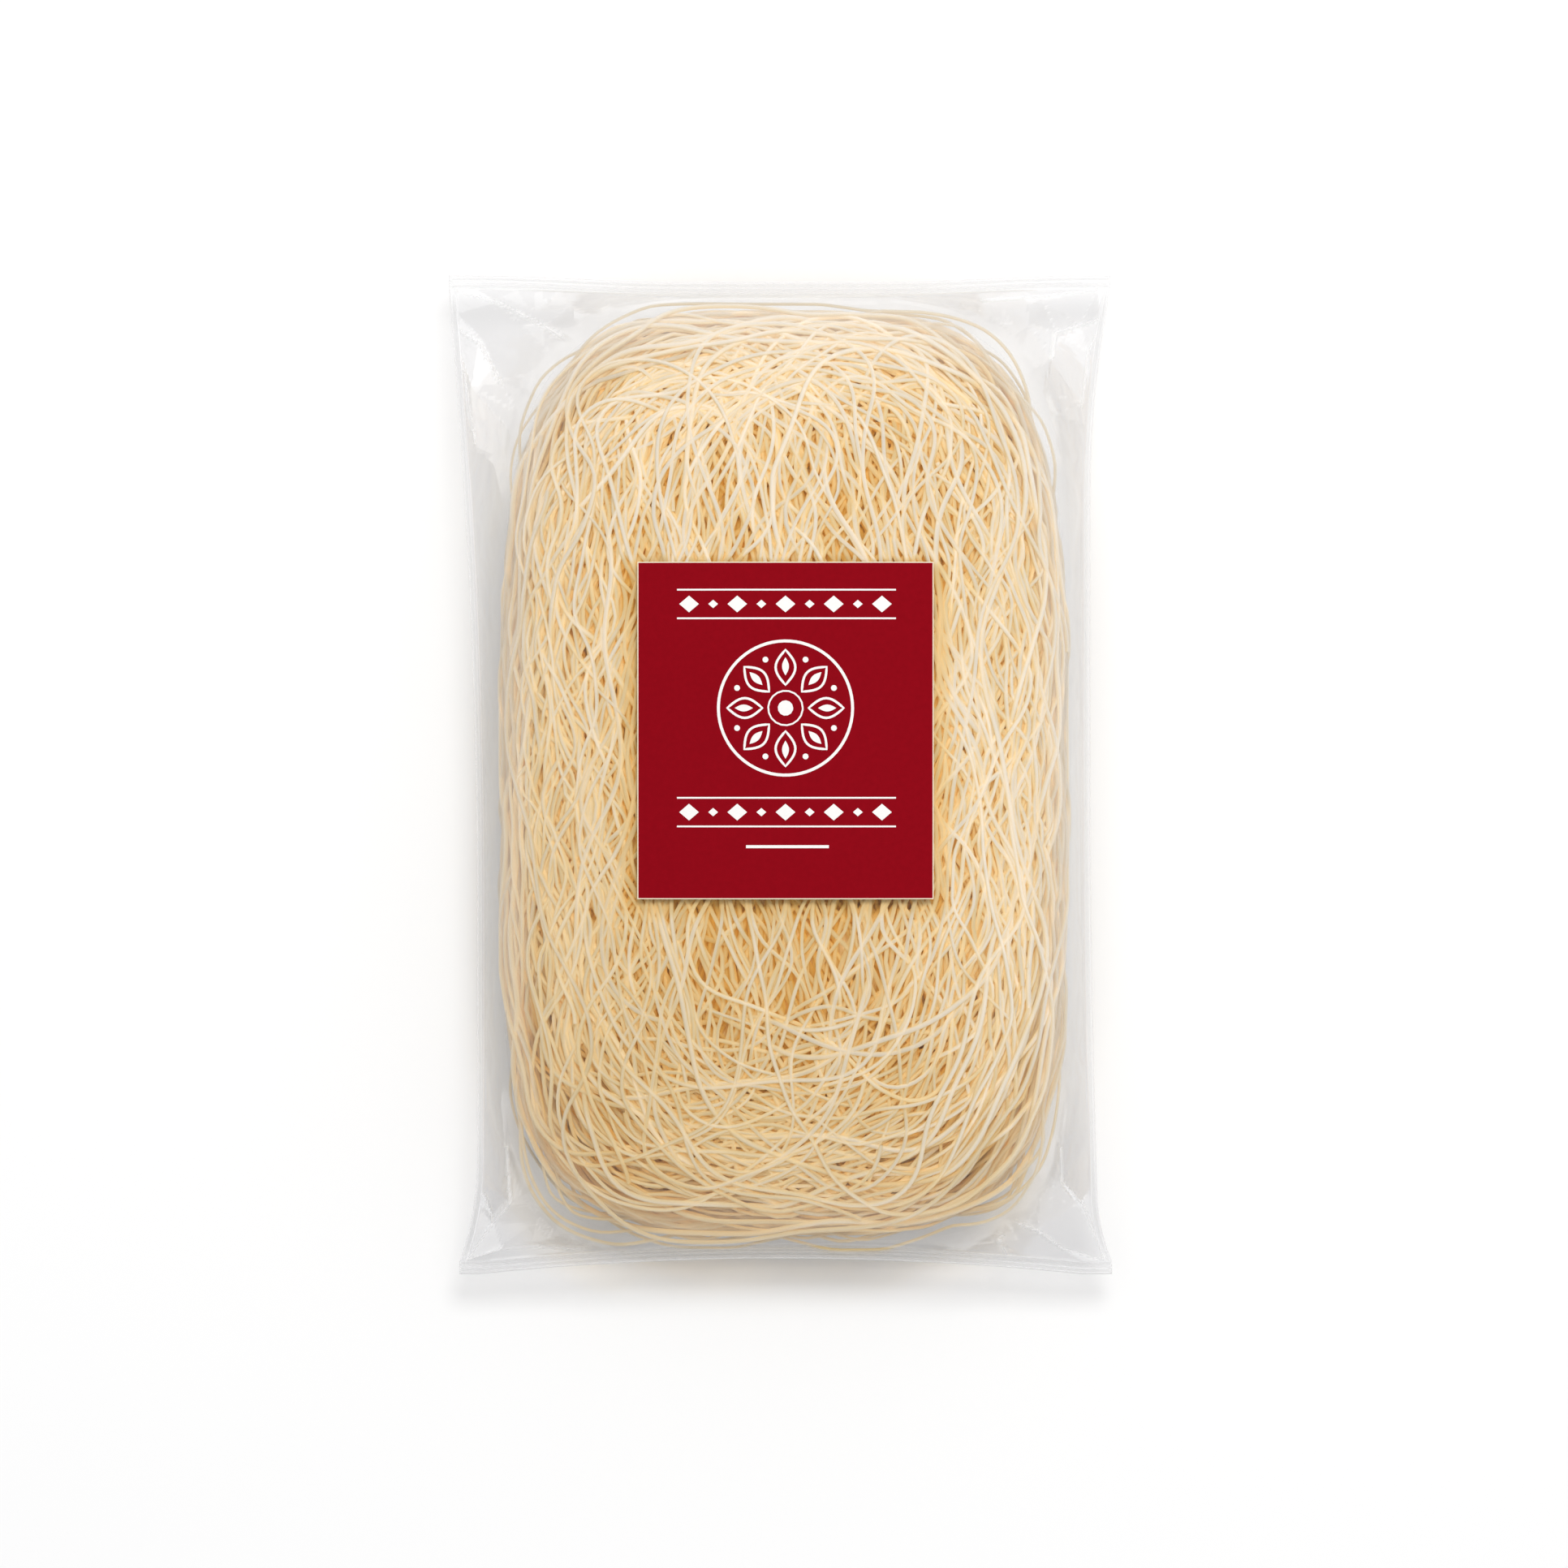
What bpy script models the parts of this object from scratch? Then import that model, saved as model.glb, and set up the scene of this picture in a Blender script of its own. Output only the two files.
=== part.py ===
"""A sealed clear bag of dried glass noodles with a paper label, lying on its back.

Lengths are metres and +Z is up. The origin lies on the surface that the bag rests on, under its
middle. +X runs across the bag and +Y runs along it, to the top weld.

The film and what it holds are one solid: the film's outer form, with the noodles that press
against the film standing out of it. The label is a second solid, stuck on the front.
"""

import math
import random

import bmesh
import bpy
from mathutils import Vector

MM = 0.001

# The film seen from above. A flat tube of film is welded across both ends; its sides draw in
# where the noodles fill it and flare out again to the corners of the welds.
HALF_LENGTH = 102.8 * MM
LEFT_WAIST = 62.2 * MM
RIGHT_WAIST = 63.7 * MM
# Each flare: (how far the edge stands out at the weld, how far from the weld it reaches).
LEFT_TOP_FLARES = ((6.0 * MM, 130 * MM),)
LEFT_BOTTOM_FLARES = ((3.8 * MM, 22 * MM),)
RIGHT_TOP_FLARES = ((4.3 * MM, 45 * MM),)
RIGHT_BOTTOM_FLARES = ((2.0 * MM, 110 * MM), (2.6 * MM, 14 * MM))
TOP_EDGE_DIP = 1.5 * MM
TOP_DIP_FLAT = 20 * MM  # from the middle, the stretch of the top edge that is drawn in fully
TOP_DIP_END = 65 * MM
BOTTOM_EDGE_DIP = 3.4 * MM
WELD_HEIGHT = 2.6 * MM
SIDE_FOLD_WIDTH = 1.3 * MM
FILM_THICKNESS = 0.7 * MM  # of the welds; real film is far thinner than a solid can be

# The bundle of noodles inside: a long rounded block, fuller at the bottom end.
BUNDLE_CENTRE = (0.8 * MM, -0.4 * MM)
BUNDLE_HALF_WIDTH = 59.5 * MM
BUNDLE_HALF_LENGTH = 98.1 * MM
BUNDLE_TOP_SQUARENESS = 4.2
BUNDLE_BOTTOM_SQUARENESS = 5.0
SEAM_HEIGHT = 17.0 * MM  # of the welds above the table
FRONT_RISE = 22.6 * MM
FRONT_FULLNESS = 2.5
BACK_DROP = 17.6 * MM  # a little more than the seam's height, so the table presses the back flat
BACK_FULLNESS = 3.2
END_SAG = 1.6 * MM  # how far the middle of a weld hangs below the seam at the waist
CORNER_SAG = 2.6 * MM  # and how much further a corner hangs

# Creases in the slack film: each corner has a fan of them, running in towards the bundle.
# Each crease: (degrees from the line that halves the corner, length).
CREASE_FAN = ((-24.0, 30 * MM), (-3.0, 36 * MM), (20.0, 27 * MM))
CREASE_HEIGHT = 1.3 * MM
CREASE_HALF_WIDTH = 3.6 * MM

# The label: a rectangle of stiff paper that follows the film's crown.
LABEL_CENTRE = (1.1 * MM, 8.95 * MM)
LABEL_WIDTH = 60.0 * MM
LABEL_HEIGHT = 68.4 * MM
LABEL_THICKNESS = 0.4 * MM
LABEL_GAP = 0.3 * MM

# Noodles that press against the film and stand out of it.
NOODLE_RADIUS = 0.55 * MM
NOODLE_DEPTH = 0.1 * MM  # of a noodle's middle below the film's outer face
NOODLE_STEP = 5.0 * MM
NOODLE_SEED = 7
FRONT_NOODLES = 20
BACK_NOODLES = 7
NOODLE_LENGTHS = (70 * MM, 135 * MM)
SHORTEST_NOODLE = 45 * MM
NOODLE_TURN_START = 0.76  # share of the bundle's outline where noodles begin to follow it
NOODLE_TURN_FULL = 0.88
NOODLE_LIMIT = 0.94  # and where they end
LABEL_MARGIN = 1.0 * MM  # from the label to a noodle's middle
REST_MARGIN = 1.2 * MM  # height above the table below which no noodle stands out
CAP_MERGE = 0.01 * MM  # closes a noodle's ends onto its wall

COLUMNS = 24
ROWS = 34
RAY_SAMPLES = 48
LABEL_CELLS = (8, 9)
SHARP_ANGLE = math.radians(40)

BAG_COLOUR = (0.83, 0.71, 0.48)
BAG_ROUGHNESS = 0.35
LABEL_COLOUR = (0.27, 0.007, 0.016)
LABEL_ROUGHNESS = 0.5


def smooth(share):
    """0 to 1 with flat ends."""
    share = min(max(share, 0.0), 1.0)
    return share * share * (3.0 - 2.0 * share)


def flare(distance, flares):
    """How far a side edge stands out at this distance from a weld."""
    return sum(out * max(0.0, 1.0 - distance / reach) ** 2 for out, reach in flares)


def side_edges(y):
    """X of the film's left and right edges at this Y."""
    from_top = HALF_LENGTH - y
    from_bottom = HALF_LENGTH + y
    left = LEFT_WAIST + flare(from_top, LEFT_TOP_FLARES) + flare(from_bottom, LEFT_BOTTOM_FLARES)
    right = RIGHT_WAIST + flare(from_top, RIGHT_TOP_FLARES) + flare(from_bottom, RIGHT_BOTTOM_FLARES)
    return -left, right


def end_edges(x):
    """Y of the film's bottom and top edges at this X. Both are drawn in at the middle."""
    top_dip = TOP_EDGE_DIP * (1.0 - smooth((abs(x) - TOP_DIP_FLAT) / (TOP_DIP_END - TOP_DIP_FLAT)))
    bottom_dip = BOTTOM_EDGE_DIP * (1.0 - min(1.0, abs(x) / LEFT_WAIST) ** 2)
    return bottom_dip - HALF_LENGTH, HALF_LENGTH - top_dip


def film_point(u, v, inset=1.0):
    """The film at u across and v along, each -1 to 1, inside its welds and side folds.

    With inset 0 the same numbers reach the film's outer edge.
    """
    left, right = side_edges(v * HALF_LENGTH)
    left += inset * SIDE_FOLD_WIDTH
    right -= inset * SIDE_FOLD_WIDTH
    x = left + (right - left) * (u + 1.0) / 2.0
    bottom, top = end_edges(x)
    reach = (top if v > 0 else -bottom) - inset * WELD_HEIGHT
    return x, v * reach


def film_share(x, y):
    """The u and v of a point of the film: film_point the other way round."""
    bottom, top = end_edges(x)
    v = y / ((top if y > 0 else -bottom) - WELD_HEIGHT)
    left, right = side_edges(v * HALF_LENGTH)
    left += SIDE_FOLD_WIDTH
    right -= SIDE_FOLD_WIDTH
    return 2.0 * (x - left) / (right - left) - 1.0, v


def bundle_ratio(x, y):
    """0 in the middle of the bundle and 1 on its outline."""
    across = abs(x - BUNDLE_CENTRE[0]) / BUNDLE_HALF_WIDTH
    along = (y - BUNDLE_CENTRE[1]) / BUNDLE_HALF_LENGTH
    power = BUNDLE_TOP_SQUARENESS if along > 0 else BUNDLE_BOTTOM_SQUARENESS
    return (across**power + abs(along) ** power) ** (1.0 / power)


def bundle_rise(x, y, height, fullness):
    """How far the bundle's surface stands above or below the seam."""
    ratio = bundle_ratio(x, y)
    if ratio >= 1.0:
        return 0.0
    return height * (1.0 - ratio**fullness) ** (1.0 / fullness)


def film_rise(u, v, height, fullness):
    """How far the film stands from the seam: it lies on the bundle, and from the bundle's
    shoulder it runs straight to the weld or the side fold."""
    ring = max(abs(u), abs(v))
    if ring < 1e-6:
        return height
    if ring >= 1.0:
        return 0.0
    steepest, touch = 0.0, 0.0
    for k in range(RAY_SAMPLES):
        share = k / RAY_SAMPLES
        x, y = film_point(u / ring * share, v / ring * share)
        slope = bundle_rise(x, y, height, fullness) / (1.0 - share)
        if slope > steepest:
            steepest, touch = slope, share
    if ring > touch:
        return steepest * (1.0 - ring)
    return bundle_rise(*film_point(u, v), height, fullness)


def seam_height(x, y):
    """Height above the table of the middle of the welds and folds. The ends hang a little."""
    along = abs(y) / HALF_LENGTH
    across = abs(x) / LEFT_WAIST
    return SEAM_HEIGHT - END_SAG * along**6 - CORNER_SAG * along**8 * across**2


def crease_lines():
    """(start, direction, length) of every crease, in the plane of the seam."""
    found = []
    for side in (-1, 1):
        for end in (-1, 1):
            corner = Vector(film_point(side, end))
            inwards = math.atan2(-end, -side)
            for turn, length in CREASE_FAN:
                angle = inwards + math.radians(turn) * side * end
                found.append((corner, Vector((math.cos(angle), math.sin(angle))), length))
    return found


CREASES = crease_lines()


def crease_rise(x, y):
    """Height of the sharp ridges that run in from the bag's corners."""
    rise = 0.0
    for corner, direction, length in CREASES:
        away = Vector((x, y)) - corner
        along = away.dot(direction) / length
        if 0.0 < along < 1.0:
            across = abs(away.x * direction.y - away.y * direction.x) / CREASE_HALF_WIDTH
            rise += CREASE_HEIGHT * math.sin(math.pi * along) * max(0.0, 1.0 - across)
    return rise


def front_height(x, y):
    """Z of the film's outer face on the label's side."""
    rise = film_rise(*film_share(x, y), FRONT_RISE, FRONT_FULLNESS)
    return seam_height(x, y) + FILM_THICKNESS / 2 + rise + crease_rise(x, y)


def back_height(x, y):
    """Z of the film's outer face on the side that the table presses flat."""
    drop = film_rise(*film_share(x, y), BACK_DROP, BACK_FULLNESS) + crease_rise(x, y) / 2
    return max(0.0, seam_height(x, y) - FILM_THICKNESS / 2 - drop)


def finish(name, colour, roughness):
    """A plain material that isn't metal."""
    material = bpy.data.materials.new(name)
    material.use_nodes = True
    shader = material.node_tree.nodes["Principled BSDF"]
    shader.inputs["Base Color"].default_value = (*colour, 1.0)
    shader.inputs["Roughness"].default_value = roughness
    shader.inputs["Metallic"].default_value = 0.0
    return material


def link_mesh(name, bm, material):
    """Makes an object of the bmesh, smooth-shaded but for the edges where it turns a corner."""
    mesh = bpy.data.meshes.new(name)
    bm.to_mesh(mesh)
    bm.free()
    mesh.materials.append(material)
    mesh.shade_smooth()
    mesh.set_sharp_from_angle(angle=SHARP_ANGLE)
    made = bpy.data.objects.new(name, mesh)
    bpy.context.scene.collection.objects.link(made)
    return made


def grid_place(index, count):
    """Where a grid line runs, -1 to 1, and whether it is the outer edge of a weld or a fold.

    The lines stand closer together towards the ends, where the film curves most.
    """
    inner = min(max(index - 1, 0), count)
    share = 2.0 * inner / count - 1.0
    return (share + math.sin(math.pi / 2 * share)) / 2, index != inner + 1


def add_sheet(bm, height_at, facing):
    """One face of the bag, with its welds and side folds as a flat rim. Facing is 1 or -1."""
    grid = bmesh.ops.create_grid(bm, x_segments=COLUMNS + 2, y_segments=ROWS + 2, size=1.0)
    for vert in grid["verts"]:
        u, on_fold = grid_place(round((vert.co.x + 1.0) / 2.0 * (COLUMNS + 2)), COLUMNS)
        v, on_weld = grid_place(round((vert.co.y + 1.0) / 2.0 * (ROWS + 2)), ROWS)
        x, y = film_point(u, v)
        if on_fold:
            x = film_point(u, v, inset=0.0)[0]
        if on_weld:
            y = film_point(u, v, inset=0.0)[1]
        if max(abs(u), abs(v)) < 1.0:
            vert.co = (x, y, height_at(x, y))
        else:
            vert.co = (x, y, seam_height(x, y) + facing * FILM_THICKNESS / 2)
    if facing < 0:
        faces = {face for vert in grid["verts"] for face in vert.link_faces}
        bmesh.ops.reverse_faces(bm, faces=list(faces))


def make_film(material):
    """The bag's outer form: its front and its back, joined all round."""
    bm = bmesh.new()
    add_sheet(bm, front_height, 1)
    add_sheet(bm, back_height, -1)
    rim = [edge for edge in bm.edges if edge.is_boundary]
    bmesh.ops.bridge_loops(bm, edges=rim)
    bmesh.ops.recalc_face_normals(bm, faces=bm.faces)
    return link_mesh("noodle_bag", bm, material)


def make_label(material):
    """The paper label, bent to the film's crown, with its gap to the film."""
    bm = bmesh.new()
    grid = bmesh.ops.create_grid(bm, x_segments=LABEL_CELLS[0], y_segments=LABEL_CELLS[1], size=0.5)
    for vert in grid["verts"]:
        x = LABEL_CENTRE[0] + LABEL_WIDTH * vert.co.x
        y = LABEL_CENTRE[1] + LABEL_HEIGHT * vert.co.y
        vert.co = (x, y, front_height(x, y) + LABEL_GAP)
    label = link_mesh("label", bm, material)
    paper = label.modifiers.new("paper_thickness", "SOLIDIFY")
    paper.thickness = LABEL_THICKNESS
    paper.offset = 1.0
    return label


def on_label(x, y):
    """True where the label and its margin cover the front."""
    across = abs(x - LABEL_CENTRE[0]) - LABEL_WIDTH / 2
    along = abs(y - LABEL_CENTRE[1]) - LABEL_HEIGHT / 2
    return max(across, along) < LABEL_MARGIN


def outward(height_at, x, y, facing):
    """The film's outer normal at a point of the front (facing 1) or the back (facing -1)."""
    step = 0.5 * MM
    slope_x = (height_at(x + step, y) - height_at(x - step, y)) / (2 * step)
    slope_y = (height_at(x, y + step) - height_at(x, y - step)) / (2 * step)
    return Vector((-slope_x, -slope_y, 1.0)).normalized() * facing


def walk(height_at, facing, start, heading, bend, wave, wavelength, reach):
    """Points along one half of a noodle, which turns to follow the bundle's outline near it. It
    stops at the label, at the table and at the edge of the bundle."""
    x, y = start
    path = []
    for k in range(int(reach / NOODLE_STEP) + 1):
        z = height_at(x, y)
        ratio = bundle_ratio(x, y)
        pressed = facing < 0 and z < REST_MARGIN
        if ratio > NOODLE_LIMIT or pressed or (facing > 0 and on_label(x, y)):
            break
        normal = outward(height_at, x, y, facing)
        path.append(Vector((x, y, z)) - normal * NOODLE_DEPTH)
        radial = math.atan2(y - BUNDLE_CENTRE[1], x - BUNDLE_CENTRE[0])
        side = 1 if math.sin(heading - radial) > 0 else -1
        turn = math.remainder(radial + side * (math.pi / 2 + 0.12) - heading, 2 * math.pi)
        nearness = (ratio - NOODLE_TURN_START) / (NOODLE_TURN_FULL - NOODLE_TURN_START)
        heading += 0.45 * turn * smooth(nearness)
        step = NOODLE_STEP * abs(normal.z) ** 0.5
        heading += (bend + wave * math.sin(2 * math.pi * k * NOODLE_STEP / wavelength)) * step
        x += step * math.cos(heading)
        y += step * math.sin(heading)
    return path


def noodle_path(height_at, facing, start, draw):
    """Points along one noodle, which lies mostly along the bag and runs both ways from its start."""
    heading = math.pi / 2 + draw.gauss(0.0, 0.42)
    bend = draw.gauss(0.0, 5.0)
    wave = draw.uniform(8.0, 16.0)
    wavelength = draw.uniform(45 * MM, 80 * MM)
    half = draw.uniform(*NOODLE_LENGTHS) / 2
    ahead = walk(height_at, facing, start, heading, bend, wave, wavelength, half)
    behind = walk(height_at, facing, start, heading + math.pi, -bend, wave, wavelength, half)
    return behind[:0:-1] + ahead


def make_noodle(name, path):
    """A thin tube with few sides along the path."""
    curve = bpy.data.curves.new(name, "CURVE")
    curve.dimensions = "3D"
    curve.bevel_depth = NOODLE_RADIUS
    curve.bevel_resolution = 1
    curve.use_fill_caps = True
    spline = curve.splines.new("POLY")
    spline.points.add(len(path) - 1)
    for point, place in zip(spline.points, path):
        point.co = (*place, 1.0)
    guide = bpy.data.objects.new(name, curve)
    mesh = bpy.data.meshes.new_from_object(guide)
    bpy.data.objects.remove(guide)
    bm = bmesh.new()
    bm.from_mesh(mesh)
    bmesh.ops.remove_doubles(bm, verts=bm.verts, dist=CAP_MERGE)
    bm.to_mesh(mesh)
    bm.free()
    return bpy.data.objects.new(name, mesh)


def noodle_starts(draw):
    """Points spread evenly over the bundle's face, by two golden-ratio steps."""
    steps = (0.7548776662, 0.5698402910)
    across, along = draw.random(), draw.random()
    while True:
        across = (across + steps[0]) % 1.0
        along = (along + steps[1]) % 1.0
        x = BUNDLE_CENTRE[0] + BUNDLE_HALF_WIDTH * 0.86 * (2 * across - 1)
        y = BUNDLE_CENTRE[1] + BUNDLE_HALF_LENGTH * 0.88 * (2 * along - 1)
        yield x, y


def make_noodles(collection):
    """Every noodle that stands out of the film, front and back."""
    draw = random.Random(NOODLE_SEED)
    for face, facing, height_at, wanted in (
        ("front", 1, front_height, FRONT_NOODLES),
        ("back", -1, back_height, BACK_NOODLES),
    ):
        starts = noodle_starts(draw)
        made = 0
        while made < wanted:
            path = noodle_path(height_at, facing, next(starts), draw)
            if len(path) * NOODLE_STEP > SHORTEST_NOODLE:
                collection.objects.link(make_noodle(f"noodle_{face}_{made}", path))
                made += 1


def fuse(target, collection):
    """Joins every noodle to the film's form, then removes the separate noodles."""
    union = target.modifiers.new("fused_noodles", "BOOLEAN")
    union.operation = "UNION"
    union.operand_type = "COLLECTION"
    union.collection = collection
    union.solver = "MANIFOLD"
    bpy.context.view_layer.objects.active = target
    bpy.ops.object.modifier_apply(modifier=union.name)
    for noodle in list(collection.objects):
        bpy.data.objects.remove(noodle)
    bpy.data.collections.remove(collection)


def main():
    for old in list(bpy.data.objects):
        bpy.data.objects.remove(old)
    bag = make_film(finish("film_over_noodles", BAG_COLOUR, BAG_ROUGHNESS))
    noodles = bpy.data.collections.new("noodles")
    bpy.context.scene.collection.children.link(noodles)
    make_noodles(noodles)
    fuse(bag, noodles)
    make_label(finish("label_paper", LABEL_COLOUR, LABEL_ROUGHNESS))


main()
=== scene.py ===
"""A clear bag of dried glass noodles with a paper label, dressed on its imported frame.

The film, the noodles inside it and the print on the label are made here. Lengths are metres, +Z
is up, +X is the label's right and +Y its top.
"""

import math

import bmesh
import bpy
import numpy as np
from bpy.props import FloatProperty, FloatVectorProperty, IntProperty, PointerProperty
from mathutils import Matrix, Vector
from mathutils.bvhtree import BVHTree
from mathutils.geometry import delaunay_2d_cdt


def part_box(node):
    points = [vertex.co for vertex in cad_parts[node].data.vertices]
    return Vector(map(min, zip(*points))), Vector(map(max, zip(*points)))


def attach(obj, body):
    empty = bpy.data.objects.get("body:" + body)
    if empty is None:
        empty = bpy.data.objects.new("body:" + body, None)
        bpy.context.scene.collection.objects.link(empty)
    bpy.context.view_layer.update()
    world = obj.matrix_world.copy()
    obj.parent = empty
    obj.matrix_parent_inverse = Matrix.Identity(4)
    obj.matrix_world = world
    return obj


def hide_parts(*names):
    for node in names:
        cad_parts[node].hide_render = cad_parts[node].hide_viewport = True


bl_info = {
    "name": "Bag of glass noodles",
    "version": (1, 0, 0),
    "blender": (4, 5, 0),
    "location": "3D View > Sidebar > Noodle bag",
    "description": "Builds the film, the noodles, the label's print and the stage",
    "category": "Object",
}

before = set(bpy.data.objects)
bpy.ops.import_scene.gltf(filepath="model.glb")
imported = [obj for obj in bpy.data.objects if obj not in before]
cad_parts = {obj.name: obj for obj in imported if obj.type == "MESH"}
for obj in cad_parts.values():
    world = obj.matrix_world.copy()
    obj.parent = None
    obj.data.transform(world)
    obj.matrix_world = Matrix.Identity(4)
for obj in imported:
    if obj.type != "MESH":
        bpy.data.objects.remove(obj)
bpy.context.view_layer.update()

MM = 0.001
BAG_LOW, BAG_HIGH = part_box("noodle_bag")
LABEL_LOW, LABEL_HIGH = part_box("label")

# The film's outline. Each flare: (how far a side edge stands out at the weld, how far it reaches).
LEFT_TOP_FLARES = ((6.0 * MM, 130 * MM),)
LEFT_BOTTOM_FLARES = ((3.8 * MM, 22 * MM),)
RIGHT_TOP_FLARES = ((4.3 * MM, 45 * MM),)
RIGHT_BOTTOM_FLARES = ((2.0 * MM, 110 * MM), (2.6 * MM, 14 * MM))
TOP_EDGE_DIP = 1.5 * MM
TOP_DIP_FLAT = 20 * MM
TOP_DIP_END = 65 * MM
BOTTOM_EDGE_DIP = 3.4 * MM
END_SAG = 1.6 * MM
CORNER_SAG = 2.6 * MM
RAY_SAMPLES = 96

# Ridges that the slack film is folded into: for each corner (side, end), lines of points as
# millimetres in from the side fold, millimetres in from the weld and millimetres of lift.
FOLDS = {
    (-1, 1): (
        ((0.6, 0.8, 0.0), (9.0, 3.2, 1.0), (19.0, 8.6, 1.3), (26.0, 13.0, 0.7)),
        ((0.2, 8.6, 0.1), (5.0, 11.5, 0.9), (9.5, 19.5, 1.2)),
        ((0.2, 8.6, 0.1), (2.6, 21.0, 0.7), (4.4, 33.0, 0.5)),
    ),
    (1, 1): (
        ((0.2, 6.2, 0.1), (5.2, 8.0, 1.1), (10.2, 9.6, 1.5), (11.0, 15.0, 1.1)),
        ((0.2, 6.2, 0.1), (3.4, 13.6, 0.9), (4.6, 24.0, 0.6)),
        ((1.5, 0.4, 0.1), (13.0, 1.8, 0.5), (25.0, 2.8, 0.5)),
    ),
    (1, -1): (
        ((0.3, 0.4, 0.0), (4.8, 12.0, 0.9), (9.4, 17.0, 1.1), (9.8, 26.0, 0.6)),
        ((0.3, 0.4, 0.0), (9.0, 2.8, 1.0), (14.0, 6.6, 1.5), (21.0, 9.4, 1.2)),
        ((20.0, 1.4, 0.4), (22.0, 4.6, 1.1), (21.0, 9.4, 1.2)),
    ),
    (-1, -1): (
        ((0.3, 0.4, 0.0), (6.0, 8.6, 1.1), (9.4, 12.4, 1.2), (8.6, 24.0, 0.6)),
        ((0.3, 0.4, 0.0), (7.6, 2.8, 0.9), (14.0, 3.4, 0.9), (24.0, 3.0, 0.8)),
        ((6.0, 8.6, 1.1), (3.0, 16.0, 0.8), (2.4, 26.0, 0.5)),
    ),
}

# On the back sheet they stand out the other way, and less.
BACK_FOLDS = -0.6

# A fold is pinched by a lower line this far beside it and this much lower.
PINCH = (1.0 * MM, 0.3 * MM)

# Dents between the folds in the corners, and in a band along each weld: how many places are tried,
# how far apart they are, where they may lie, and how far they stand in or out.
CORNER_TRIES = 260
CORNER_SPACING = 7 * MM
CORNER_AREA = (1.5 * MM, 34 * MM)
CORNER_BENDS = (-0.7 * MM, 0.3 * MM)
BAND_TRIES = 400
BAND_SPACING = 3.4 * MM
BAND_AREA = (1.0 * MM, 9 * MM)
BAND_REACH = 0.8
BAND_BENDS = {1: (-0.15 * MM, 0.15 * MM), -1: (-0.35 * MM, 0.5 * MM)}
RIM_SPACING = 4 * MM
RIM_RINGS = (0.94, 1.0)

# How far the facets reach in from each end, the share of that over which they take over, and where
# the film turns slack, as shares of the bundle's outline.
CORNER_REACH = 46 * MM
CORNER_FADE = 0.3
SLACK_START = 0.955
SLACK_END = 1.02


class BagForm(bpy.types.PropertyGroup):
    """The sizes of the filled film, the same as the solid's."""

    half_length: FloatProperty(
        name="Half length", description="From the middle to a weld's outer edge",
        default=(BAG_HIGH.y - BAG_LOW.y) / 2, unit="LENGTH")
    left_waist: FloatProperty(
        name="Left waist", description="From the middle to the left edge where it is drawn in",
        default=62.2 * MM, unit="LENGTH")
    right_waist: FloatProperty(
        name="Right waist", description="From the middle to the right edge where it is drawn in",
        default=63.7 * MM, unit="LENGTH")
    weld_height: FloatProperty(
        name="Weld height", description="Height of the band that closes each end",
        default=2.6 * MM, unit="LENGTH")
    fold_width: FloatProperty(
        name="Side fold width", description="Width of the pressed strip along each side",
        default=1.3 * MM, unit="LENGTH")
    seam_height: FloatProperty(
        name="Seam height", description="Height of the welds and side folds above the floor",
        default=17.0 * MM, unit="LENGTH")
    bundle_centre: FloatVectorProperty(
        name="Bundle centre", description="Middle of the heap of noodles, seen from above",
        default=(0.8 * MM, -0.4 * MM), size=2, unit="LENGTH")
    bundle_half_width: FloatProperty(
        name="Bundle half width", description="Half the width of the heap of noodles",
        default=59.5 * MM, unit="LENGTH")
    bundle_half_length: FloatProperty(
        name="Bundle half length", description="Half the length of the heap of noodles",
        default=98.1 * MM, unit="LENGTH")
    top_squareness: FloatProperty(
        name="Top squareness", description="How square the heap's top corners are, from 2, round",
        default=4.2)
    bottom_squareness: FloatProperty(
        name="Bottom squareness", description="How square its bottom corners are, from 2, round",
        default=5.0)
    front_rise: FloatProperty(
        name="Front rise", description="Height of the front above the seam",
        default=22.6 * MM, unit="LENGTH")
    front_fullness: FloatProperty(
        name="Front fullness", description="How square the front's section is, from 2, round",
        default=2.5)
    back_drop: FloatProperty(
        name="Back drop", description="Depth of the back below the seam before the floor stops it",
        default=17.6 * MM, unit="LENGTH")
    back_fullness: FloatProperty(
        name="Back fullness", description="How square the back's section is, from 2, round",
        default=3.2)


class FilmLook(bpy.types.PropertyGroup):
    """The clear film."""

    seed: IntProperty(name="Seed", description="Chooses how the slack film is crumpled", default=3)
    columns: IntProperty(name="Columns", description="Cells across one sheet of film", default=150)
    rows: IntProperty(name="Rows", description="Cells along one sheet of film", default=230)
    tint: FloatVectorProperty(
        name="Tint", description="Light that a taut sheet of film lets through",
        default=(0.982, 0.982, 0.985), subtype="COLOR")
    # Painted shade: the slack film takes this darker tint towards the ends, most at the bottom; crumpling
    # accounts for only a little of it.
    slack_shade_tint: FloatVectorProperty(
        name="Crushed tint", description="Light that the most crumpled film lets through",
        default=(0.92, 0.92, 0.925), subtype="COLOR")
    roughness: FloatProperty(
        name="Roughness", description="Roughness of the gloss of the film over the noodles", default=0.3,
        subtype="FACTOR")
    slack_roughness: FloatProperty(
        name="Slack roughness", description="Roughness of the gloss of the slack film", default=0.035,
        subtype="FACTOR")
    gloss_ior: FloatProperty(
        name="Gloss", description="Refractive index that sets how much both faces reflect",
        default=1.7)
    most_gloss: FloatProperty(
        name="Most gloss", description="Largest share of light that a face reflects", default=0.35,
        subtype="FACTOR")
    # The pressed colour also paints the highlight along the folds' creases and the sheen round the bundle's
    # rim.
    pressed_colour: FloatVectorProperty(
        name="Pressed colour", description="Colour of the milky lines pressed into the welds and folds",
        default=(0.90, 0.895, 0.89), subtype="COLOR")


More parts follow.
